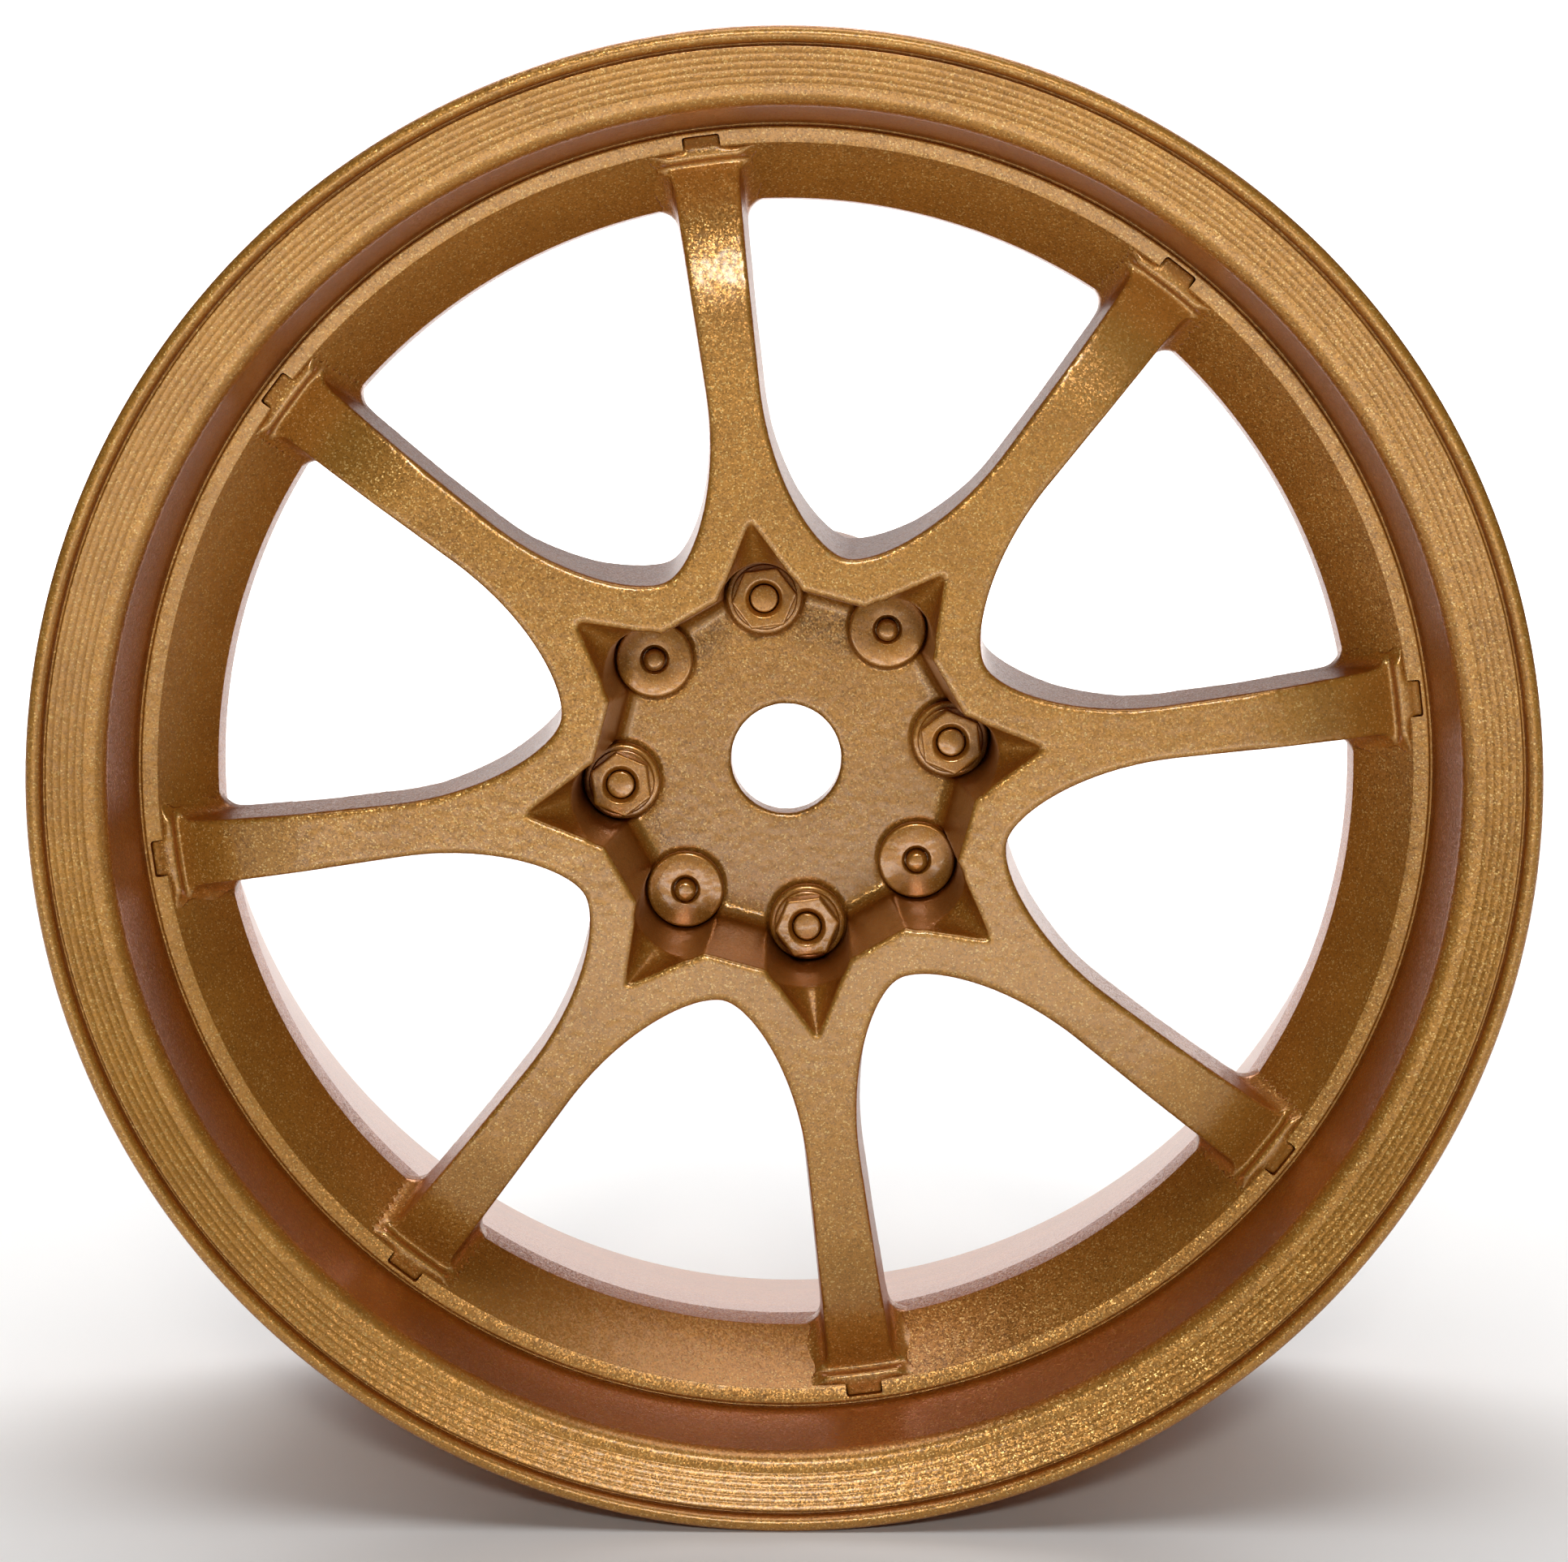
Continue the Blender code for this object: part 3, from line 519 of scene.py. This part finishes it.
def rim_outline():
    """The rim's section, from the throat over the lip and the tread to the rear flange."""
    wall_foot = LIP_WALL_RADIUS - LIP_WALL_DRAFT
    ring = BEAD_RING_WIDTH / 2.0
    ledge_groove_floor = TOP - LIP_WALL_DEPTH - LEDGE_GROOVE_DEPTH
    bead_groove_floor = TOP - LIP_START_DEPTH - BEAD_GROOVE_DEPTH
    seat = BEAD_SEAT_RADIUS
    inner_edge = FLANGE_THICKNESS + BEAD_SEAT_WIDTH
    corners = [
        (THROAT_RADIUS, TOP - THROAT_DEPTH, EDGE_ROUND * 1.5),
        (CONE_RADIUS, TOP - CONE_DEPTH, EDGE_ROUND),
        (LEDGE_RADIUS, TOP - LIP_WALL_DEPTH, EDGE_ROUND),
        (LEDGE_RADIUS + LEDGE_GROOVE_WIDTH / 3.0, ledge_groove_floor, GROOVE_ROUND),
        (wall_foot, ledge_groove_floor, GROOVE_ROUND),
    ]
    shoulder = (LIP_WALL_RADIUS + LIP_SHOULDER,
                TOP - LIP_START_DEPTH - LIP_FACE_FALL - LIP_SHOULDER)
    corners += arc_points(shoulder, LIP_SHOULDER, 180.0, 105.0, 14)
    corners += lip_face_points()
    corners += [
        (LIP_FACE_RADIUS, TOP - LIP_START_DEPTH, EDGE_ROUND * 0.8),
        (LIP_FACE_RADIUS + BEAD_GROOVE_WIDTH / 3.0, bead_groove_floor, 0.02),
        (RIM_RADIUS - BEAD_RING_WIDTH, bead_groove_floor, 0.02),
    ]
    corners += arc_points((RIM_RADIUS - ring, TOP - ring), ring, 180.0, 0.0, 18)
    half = [
        (RIM_RADIUS, FLANGE_THICKNESS - FLANGE_SLOPE, FLANGE_ROUND),
        (RIM_RADIUS - FLANGE_SLOPE, FLANGE_THICKNESS, FLANGE_ROUND),
        (seat + FLANGE_SLOPE, FLANGE_THICKNESS, FLANGE_ROUND * 1.5),
        (seat, FLANGE_THICKNESS + FLANGE_SLOPE, FLANGE_ROUND * 1.5),
        (seat, inner_edge, SEAT_ROUND),
        (seat + HUMP_HEIGHT, inner_edge + HUMP_HEIGHT * 2.0, SEAT_ROUND),
        (seat - HUMP_HEIGHT, inner_edge + HUMP_HEIGHT * 5.0, SEAT_ROUND),
    ]
    corners += [(radius, TOP - depth, size) for radius, depth, size in half]
    corners += [
        (THROAT_RADIUS + RIM_WALL, TOP - THROAT_DEPTH - RIM_WALL, WELL_ROUND),
        (throat_radius_at(TOP) + RIM_WALL, 0.0, WELL_ROUND),
    ]
    corners += [(radius, depth - TOP, size) for radius, depth, size in reversed(half)]
    corners += arc_points((RIM_RADIUS - ring, ring - TOP), ring, 0.0, -90.0, 8)
    corners += [
        (throat_radius_at(RIM_WIDTH), -TOP, 0.12),
        (THROAT_RADIUS, TOP - THROAT_DEPTH - THROAT_LENGTH, 0.5),
    ]
    return rounded(corners)


def key_mesh(name, clearance, inner, top):
    """The block that keys a spoke tip into the ledge, along +X from inside the tip."""
    half = KEY_WIDTH / 2.0 + clearance
    outer = TIP_RADIUS + KEY_LENGTH + clearance
    bottom = TOP - CONE_DEPTH - KEY_HEIGHT - clearance
    outline = rounded([(inner, -half, 0.0), (outer, -half, KEY_ROUND),
                       (outer, half, KEY_ROUND), (inner, half, 0.0)])
    lower = [(x, y, bottom) for x, y in outline]
    upper = [(x, y, top) for x, y in outline]
    return loft_mesh(name, lower, upper)


def build_rim_barrel(paint):
    blank = turned_mesh("rim_barrel", rim_outline(), RIM_STEPS)
    notch = key_mesh("rim_notch", KEY_GAP, TIP_RADIUS - SHELF_WIDTH / 2.0,
                     TOP - LIP_WALL_DEPTH + LEDGE_GROOVE_DEPTH)
    cutters = [(notch, ORIGIN, lug_angle(i)) for i in range(SPOKE_COUNT)]
    mesh = combined("rim_barrel", blank, cutters)
    add_piece("rim_barrel_painted", mesh, paint, "wheel", ["rim_barrel"], 32.0)


# --- Spoke centre -------------------------------------------------------------------------
def face_depth(radius):
    """Depth of the spokes' front: flat near the hub, then falling away along an arc."""
    run = TIP_RADIUS - SHELF_WIDTH - FACE_FLAT_RADIUS
    bend = (run * run + FACE_FALL * FACE_FALL) / (2.0 * FACE_FALL)
    past = max(0.0, radius - FACE_FLAT_RADIUS)
    return FACE_DEPTH + bend - math.sqrt(bend * bend - past * past)


def centre_outline():
    """The turned blank: face, shelf, seat on the rim's cone, back of the spokes, boss, web."""
    shelf_inner = TIP_RADIUS - SHELF_WIDTH
    face_count = 24
    points = [(AXLE_HOLE_RADIUS, FACE_DEPTH)]
    for i in range(face_count + 1):
        radius = FACE_FLAT_RADIUS + (shelf_inner - FACE_FLAT_RADIUS) * i / face_count
        points.append((radius, face_depth(radius)))
    throat = THROAT_RADIUS + FOOT_OVERLAP
    back_tip = face_depth(throat) + SPOKE_TIP_DEPTH
    hub_edge = WINDOW_INNER_RADIUS + HUB_DEPTH * math.tan(WALL_DRAFT)
    points += [
        (shelf_inner + FIT, CONE_DEPTH),
        (CONE_RADIUS + FOOT_OVERLAP, CONE_DEPTH),
        (throat, THROAT_DEPTH),
        (throat, back_tip),
        (FACE_FLAT_RADIUS, FACE_DEPTH + SPOKE_DEPTH),
        ((FACE_FLAT_RADIUS + hub_edge) / 2.0, FACE_DEPTH + SPOKE_DEPTH * 1.15),
        (hub_edge * 1.2, FACE_DEPTH + HUB_DEPTH * 0.68),
        (max(hub_edge, BOSS_RADIUS + FIT), FACE_DEPTH + HUB_DEPTH),
        (BOSS_RADIUS, FACE_DEPTH + HUB_DEPTH),
        (BOSS_RADIUS, BOSS_BACK_DEPTH),
        (SLEEVE_RADIUS + FIT, BOSS_BACK_DEPTH),
        (SLEEVE_RADIUS + FIT, WEB_BACK_DEPTH),
        (HEX_SEAT_RADIUS, WEB_BACK_DEPTH),
        (HEX_SEAT_RADIUS, HEX_SEAT_DEPTH),
        (AXLE_HOLE_RADIUS, HEX_SEAT_DEPTH),
    ]
    return [(radius, TOP - depth) for radius, depth in points]


def cubic(start, first, second, end, count):
    """Points and unit left normals along a cubic Bezier curve."""
    result = []
    for i in range(count + 1):
        t = i / count
        s = 1.0 - t
        point = start * s**3 + first * 3 * s * s * t + second * 3 * s * t * t + end * t**3
        slope = (first - start) * s * s + (second - first) * 2 * s * t + (end - second) * t * t
        normal = Vector((-slope.y, slope.x)).normalized()
        result.append((point, normal))
    return result


def spoke_edge():
    """One side of a spoke along +X, from past its tip to the window's inner end."""
    half_sector = SECTOR / 2.0
    waist = Vector((SPOKE_WAIST_RADIUS, SPOKE_WAIST / 2.0))
    reach = RIM_RADIUS - SPOKE_WAIST_RADIUS
    past_tip = waist + Vector((reach, SPOKE_TAPER * reach))
    side = Vector((SPOKE_TAPER, -1.0)).normalized() * -1.0
    apex = Vector((math.cos(half_sector), math.sin(half_sector))) * WINDOW_INNER_RADIUS
    across = Vector((math.sin(half_sector), -math.cos(half_sector)))
    along = Vector((-1.0, -SPOKE_TAPER)).normalized()
    curve = cubic(waist, waist + along * SPOKE_FLARE_PULL, apex + across * WINDOW_CORNER_PULL,
                  apex, 40)
    return [(past_tip, side)] + [(point, -normal) for point, normal in curve]


def window_outline(inset, height):
    """A window's outline about the +X bisector, moved in by the draft's inset."""
    turn = Matrix.Rotation(-SECTOR / 2.0, 2)
    half = [turn @ (point + normal * inset) for point, normal in spoke_edge()]
    lower = [(point.x, point.y, height) for point in half]
    upper = [(point.x, -point.y, height) for point in reversed(half[:-1])]
    return lower + upper


def foot_section(radius, depth):
    """A spoke's outline along +X at one depth, rounding out to a circle of the rim."""
    edge = SPOKE_WAIST / 2.0 + SPOKE_TAPER * (radius - SPOKE_WAIST_RADIUS)
    edge += math.tan(WALL_DRAFT) * (depth - FACE_DEPTH)
    high = edge + FOOT_FILLET
    centre = (math.sqrt((radius - FOOT_FILLET)**2 - high**2), high)
    lean = math.degrees(math.atan2(centre[1], centre[0]))
    side = [(centre[0] - FOOT_FILLET, edge - FIT)]
    side += [point[:2] for point in arc_points(centre, FOOT_FILLET, -90.0, lean, 20)]
    side.append((side[-1][0] * 1.2, side[-1][1] * 1.2))
    half = [(x, y, TOP - depth) for x, y in side]
    return half + [(x, -y, z) for x, y, z in reversed(half)]


def foot_mesh():
    """The filleted foot of a spoke along +X, following the rim's cone and throat."""
    levels = [
        (CONE_RADIUS, CONE_DEPTH - CONE_FALL * 1.5),
        (CONE_RADIUS, CONE_DEPTH),
        (THROAT_RADIUS, THROAT_DEPTH),
        (THROAT_RADIUS, THROAT_DEPTH + SPOKE_DEPTH * 2.0),
    ]
    shape = bmesh.new()
    rings = [[shape.verts.new(point) for point in foot_section(radius, depth)]
             for radius, depth in levels]
    count = len(rings[0])
    for upper, lower in zip(rings, rings[1:]):
        for i in range(count):
            j = (i + 1) % count
            shape.faces.new((lower[i], lower[j], upper[j], upper[i]))
    shape.faces.new(rings[0])
    shape.faces.new(list(reversed(rings[-1])))
    bmesh.ops.triangulate(shape, faces=shape.faces[-2:])
    return mesh_from_bmesh("spoke_foot", shape)


def window_mesh():
    """A drafted window cutter about +X, less the feet of the two spokes beside it."""
    reach = HUB_DEPTH * 1.5
    margin = CONE_FALL
    slope = math.tan(WALL_DRAFT)
    front = window_outline(-margin * slope, TOP - FACE_DEPTH + margin)
    back = window_outline(reach * slope, TOP - FACE_DEPTH - reach)
    foot = foot_mesh()
    cutters = [(foot, ORIGIN, side * SECTOR / 2.0) for side in (-1.0, 1.0)]
    return combined("window", loft_mesh("window", back, front), cutters)


def recess_mesh():
    """The octagonal recess, drafted, with a rounded edge around its floor."""
    corner = 1.0 / math.cos(SECTOR / 2.0)
    margin = RECESS_DEPTH / 4.0
    top = (RECESS_FLAT_TO_FLAT / 2.0 + RECESS_DRAFT / 4.0) * corner
    bottom = (RECESS_FLAT_TO_FLAT / 2.0 - RECESS_DRAFT) * corner
    shape = bmesh.new()
    bmesh.ops.create_cone(shape, cap_ends=True, segments=SPOKE_COUNT, radius1=bottom,
                          radius2=top, depth=RECESS_DEPTH + margin)
    low = min(vert.co.z for vert in shape.verts)
    floor_edges = [edge for edge in shape.edges
                   if all(abs(vert.co.z - low) < FIT for vert in edge.verts)]
    bmesh.ops.translate(shape, verts=shape.verts, vec=(0.0, 0.0, TOP - FLOOR_DEPTH - low))
    bmesh.ops.bevel(shape, geom=floor_edges, offset=RECESS_FILLET, segments=8, profile=0.5,
                    affect="EDGES")
    return mesh_from_bmesh("recess", shape)


def dimple_mesh():
    """A round-bottomed pit along +X, deepest at the lug bore and running out at its tip."""
    face = TOP - FACE_DEPTH
    shape = bmesh.new()
    tip = shape.verts.new((DIMPLE_TIP_RADIUS, 0.0, face))
    ring = []
    for i in range(DIMPLE_STEPS):
        angle = 2.0 * math.pi * i / DIMPLE_STEPS
        ring.append(shape.verts.new((DIMPLE_BASE_RADIUS, DIMPLE_HALF_WIDTH * math.cos(angle),
                                     face + DIMPLE_DEPTH * math.sin(angle))))
    shape.faces.new(ring)
    for i in range(DIMPLE_STEPS):
        shape.faces.new((ring[i], tip, ring[(i + 1) % DIMPLE_STEPS]))
    return mesh_from_bmesh("dimple", shape)


def build_spoke_centre(paint):
    blank = turned_mesh("spoke_centre", centre_outline(), RIM_STEPS)
    window = window_mesh()
    cutters = [(window, ORIGIN, lug_angle(i) + SECTOR / 2.0) for i in range(SPOKE_COUNT)]
    cutters.append((recess_mesh(), ORIGIN, 0.0))
    bore = prism_mesh("bore", SMALL_STEPS, LUG_BORE_RADIUS, RECESS_DEPTH * 1.25,
                      LUG_BORE_RADIUS + LUG_BORE_DRAFT)
    dimple = dimple_mesh()
    for i in range(SPOKE_COUNT):
        cutters.append((dimple, ORIGIN, lug_angle(i)))
        cutters.append((bore, on_lug_circle(i, LUG_FLOOR), 0.0))
    key = key_mesh("spoke_key", 0.0, TIP_RADIUS - SHELF_WIDTH / 2.0, TOP - CONE_DEPTH - KEY_STEP)
    for i in range(SPOKE_COUNT):
        cutters.append((key, ORIGIN, lug_angle(i), "UNION"))
    mesh = combined("spoke_centre", blank, cutters, voxel=CENTRE_VOXEL, smoothing=5)
    add_piece("spoke_centre_painted", mesh, paint, "wheel", ["spoke_centre"], 0.0)


# --- Drive hub and lug hardware -----------------------------------------------------------
def build_drive_hub(metal):
    back = TOP - BOSS_BACK_DEPTH
    front = TOP - WEB_BACK_DEPTH - FIT
    sleeve = turned_mesh("drive_hub", rounded([
        (0.0, front, 0.0), (SLEEVE_RADIUS, front, 0.1), (SLEEVE_RADIUS, back, 0.15),
        (0.0, back, 0.0)]), SMALL_STEPS * 3)
    socket = prism_mesh("hex_socket", 6, HEX_CORNER_RADIUS, (front - back) * 2.0,
                        base=back - (front - back) / 2.0)
    mouth = prism_mesh("hex_mouth", 6, HEX_CORNER_RADIUS + HEX_MOUTH_CHAMFER,
                       HEX_MOUTH_CHAMFER * 2.0, HEX_CORNER_RADIUS - HEX_MOUTH_CHAMFER,
                       base=back - HEX_MOUTH_CHAMFER)
    mesh = combined("drive_hub", sleeve, [(socket, ORIGIN, 0.0), (mouth, ORIGIN, 0.0)])
    add_piece("drive_hub_turned", mesh, metal, "wheel", ["drive_hub"], 30.0)


def small_piece(name, node_name, outline, index, material, body):
    mesh = turned_mesh(name, outline, SMALL_STEPS)
    mesh.transform(Matrix.Translation(on_lug_circle(index, 0.0)))
    add_piece(name, mesh, material, body, [node_name], 50.0)


def nut_shape():
    """A hexagon nut with softened edges, its bore countersunk, standing on z = 0."""
    corner = NUT_ACROSS_FLATS / 2.0 / math.cos(math.pi / 6.0)
    bore = STUD_RADIUS + FIT
    blank = prism_mesh("nut", 6, corner, NUT_HEIGHT)
    mouth = turned_mesh("nut_bore", [
        (0.0, NUT_HEIGHT + FIT), (bore + NUT_MOUTH, NUT_HEIGHT + FIT),
        (bore + NUT_MOUTH, NUT_HEIGHT), (bore, NUT_HEIGHT - NUT_MOUTH * 1.5), (bore, -FIT),
        (0.0, -FIT)], SMALL_STEPS)
    return combined("nut", blank, [(mouth, ORIGIN, 0.0)], voxel=NUT_VOXEL, smoothing=3)


def build_nut_set(number, index, nut, paint):
    bore = STUD_RADIUS + FIT
    seat = rounded([(bore, SEAT_TOP, 0.04), (SEAT_RADIUS, SEAT_TOP, SEAT_ROUND_TOP),
                    (SEAT_RADIUS, LUG_FLOOR + FIT, 0.0), (bore, LUG_FLOOR + FIT, 0.0)])
    small_piece(f"lug_seat_painted_{number}", f"lug_seat_{number}", seat, index, paint,
                "wheel")
    stud_top = NUT_TOP - STUD_SINK
    root = LUG_FLOOR - STUD_ROOT
    stud = rounded([(0.0, stud_top, 0.0), (STUD_RADIUS, stud_top, SMALL_ROUND),
                    (STUD_RADIUS, root, 0.0), (0.0, root, 0.0)])
    small_piece(f"lug_stud_painted_{number}", f"lug_stud_{number}", stud, index, paint,
                "wheel")
    washer = rounded([(bore, WASHER_TOP, 0.03), (WASHER_RADIUS, WASHER_TOP, SMALL_ROUND),
                      (WASHER_RADIUS, SEAT_TOP + FIT, 0.05), (bore, SEAT_TOP + FIT, 0.0)])
    small_piece(f"lug_washer_painted_{number}", f"lug_washer_{number}", washer, index, paint,
                f"washer_{number}")
    mesh = nut.copy()
    mesh.transform(Matrix.Rotation(lug_angle(index), 4, "Z"))
    mesh.transform(Matrix.Translation(on_lug_circle(index, WASHER_TOP + FIT)))
    add_piece(f"lug_nut_painted_{number}", mesh, paint, f"nut_{number}",
              [f"lug_nut_{number}"], 0.0)


def build_plug_set(number, index, paint):
    bore = PIN_RADIUS + FIT
    plug = rounded([(bore, SEAT_TOP - PLUG_MOUTH, 0.0), (bore + PLUG_MOUTH, SEAT_TOP, FIT),
                    (SEAT_RADIUS, SEAT_TOP, PLUG_ROUND_TOP), (SEAT_RADIUS, LUG_FLOOR + FIT, 0.0),
                    (bore, LUG_FLOOR + FIT, 0.0)])
    small_piece(f"lug_plug_painted_{number}", f"lug_plug_{number}", plug, index, paint,
                "wheel")
    pin_top = SEAT_TOP + PIN_HEIGHT
    root = LUG_FLOOR - STUD_ROOT
    pin = rounded([(0.0, pin_top, 0.0), (PIN_RADIUS, pin_top, PIN_ROUND), (PIN_RADIUS, root, 0.0),
                   (0.0, root, 0.0)])
    small_piece(f"plug_pin_painted_{number}", f"plug_pin_{number}", pin, index, paint,
                "wheel")


# --- Stage, lights and camera: places in metres, the lens in millimetres -------------------
CARD_LIFT = 0.0005
SENSOR_WIDTH = 36.0
LENS = 83.2547
CAMERA_DISTANCE = 122.9 * MM
CAMERA_SIDE = 1.40 * MM
CAMERA_RISE = 16.18 * MM
CAMERA_PITCH = -0.126
CAMERA_YAW = -0.011


def build_stage():
    """A pale floor under the tread that sweeps up into a backdrop."""
    material = bpy.data.materials.new("pale_floor")
    material.use_nodes = True
    tree = material.node_tree
    shader = tree.nodes["Principled BSDF"]
    mottle = node(tree, "ShaderNodeTexNoise")
    mottle.inputs["Scale"].default_value = 12.0
    tree.links.new(ramp(tree, mottle.outputs["Fac"], [
        (0.3, (0.90, 0.90, 0.90)), (0.7, (0.93, 0.93, 0.93))]), shader.inputs["Base Color"])
    shader.inputs["Roughness"].default_value = 0.8
    floor_level = RIM_LOW.z
    half_width = 1.2
    front = -1.2
    bend_start = 0.45
    bend = 0.35
    bend_steps = 24
    height = 0.6
    line = [(front, floor_level)]
    for i in range(bend_steps + 1):
        angle = math.radians(90.0 * i / bend_steps)
        line.append((bend_start + bend * math.sin(angle),
                     floor_level + bend * (1.0 - math.cos(angle))))
    line.append((bend_start + bend, floor_level + bend + height))
    shape = bmesh.new()
    left = [shape.verts.new((-half_width, y, z)) for y, z in line]
    right = [shape.verts.new((half_width, y, z)) for y, z in line]
    for i in range(len(line) - 1):
        shape.faces.new((left[i], right[i], right[i + 1], left[i + 1]))
    mesh = bpy.data.meshes.new("stage_floor")
    shape.to_mesh(mesh)
    shape.free()
    mesh.shade_smooth()
    mesh.materials.append(material)
    stage = bpy.data.objects.new("stage_floor", mesh)
    bpy.context.scene.collection.objects.link(stage)


def area_light(name, place, target, size, power, colour=(1.0, 1.0, 1.0)):
    light = bpy.data.lights.new(name, "AREA")
    light.shape = "RECTANGLE"
    light.size = size[0]
    light.size_y = size[1]
    light.energy = power
    light.color = colour
    obj = bpy.data.objects.new(name, light)
    bpy.context.scene.collection.objects.link(obj)
    obj.location = place
    obj.rotation_euler = (Vector(target) - Vector(place)).to_track_quat("-Z", "Y").to_euler()
    return obj


def build_lights():
    """A small hard flash, soft light from above, a low card in front and a backdrop wash."""
    area_light("key_flash", (0.004, -0.26, 0.095), ORIGIN, (0.035, 0.022), 0.19,
               (1.0, 0.96, 0.88))
    area_light("top_soft", (0.0, -0.12, 0.45), ORIGIN, (0.30, 0.25), 0.8)
    area_light("front_card", (0.0, -0.115, RIM_LOW.z + CARD_LIFT), (0.0, -0.11, 1.0),
               (0.10, 0.035), 0.05)
    back = area_light("back_wash", (0.0, 0.44, 0.50), (0.0, 0.42, 0.0), (0.8, 0.30), 4.2)
    back.data.spread = math.radians(100.0)
    world = bpy.data.worlds.new("studio_air")
    world.use_nodes = True
    background = world.node_tree.nodes["Background"]
    background.inputs["Color"].default_value = (1.0, 1.0, 1.0, 1.0)
    background.inputs["Strength"].default_value = 0.03
    bpy.context.scene.world = world
    bpy.context.scene.view_settings.view_transform = "Standard"


def build_camera():
    """A close camera a little above the axle, looking slightly down at the outer face."""
    camera = bpy.data.cameras.new("camera")
    camera.sensor_width = SENSOR_WIDTH
    camera.lens = LENS
    camera.clip_start = 0.005
    camera.clip_end = 10.0
    obj = bpy.data.objects.new("camera", camera)
    bpy.context.scene.collection.objects.link(obj)
    level = math.cos(CAMERA_PITCH)
    forward = Vector((math.sin(CAMERA_YAW) * level, math.cos(CAMERA_YAW) * level,
                      math.sin(CAMERA_PITCH)))
    obj.location = (CAMERA_SIDE, -(TOP * MM + CAMERA_DISTANCE), CAMERA_RISE)
    obj.rotation_euler = forward.to_track_quat("-Z", "Y").to_euler()
    bpy.context.scene.camera = obj


# --- Assembly -----------------------------------------------------------------------------
build_camera()
build_stage()
build_lights()
# Each paint's first colour is the painted shade for its walls.
RIM_PAINT = flake_paint("rim_flake_paint", wall_shade=(0.40, 0.10, 0.006), gold=GOLD, glint=GLINT,
                        flake_size=0.05, tilt=0.20, roughness=0.32, coat=(0.5, 0.22))
PAINT = flake_paint("gold_flake_paint", wall_shade=(0.44, 0.13, 0.010), gold=GOLD, glint=GLINT,
                    flake_size=0.05, tilt=0.20, roughness=0.30, coat=(0.9, 0.20))
# Painted light: a brighter, more orange copy of the gold paint for the hardware deep in the hub
# recess, standing in for how the light in the recess looks on the paint, with fewer visible flakes.
RECESS_LIGHT_PAINT = flake_paint("gold_recess_light_paint", wall_shade=(0.56, 0.19, 0.014),
                         gold=(0.60, 0.260, 0.034), glint=(0.70, 0.40, 0.12),
                         flake_size=0.045, tilt=0.05, roughness=0.27, coat=(0.9, 0.10))
METAL = bare_metal("drive_aluminium")
build_rim_barrel(RIM_PAINT)
build_spoke_centre(PAINT)
build_drive_hub(METAL)
NUT = nut_shape()
# The hub-recess hardware takes the copy of the paint with painted recess light.
for lug in range(SPOKE_COUNT):
    if lug % 2 == 0:
        build_nut_set(lug // 2 + 1, lug, NUT, RECESS_LIGHT_PAINT)
    else:
        build_plug_set(lug // 2 + 1, lug, RECESS_LIGHT_PAINT)
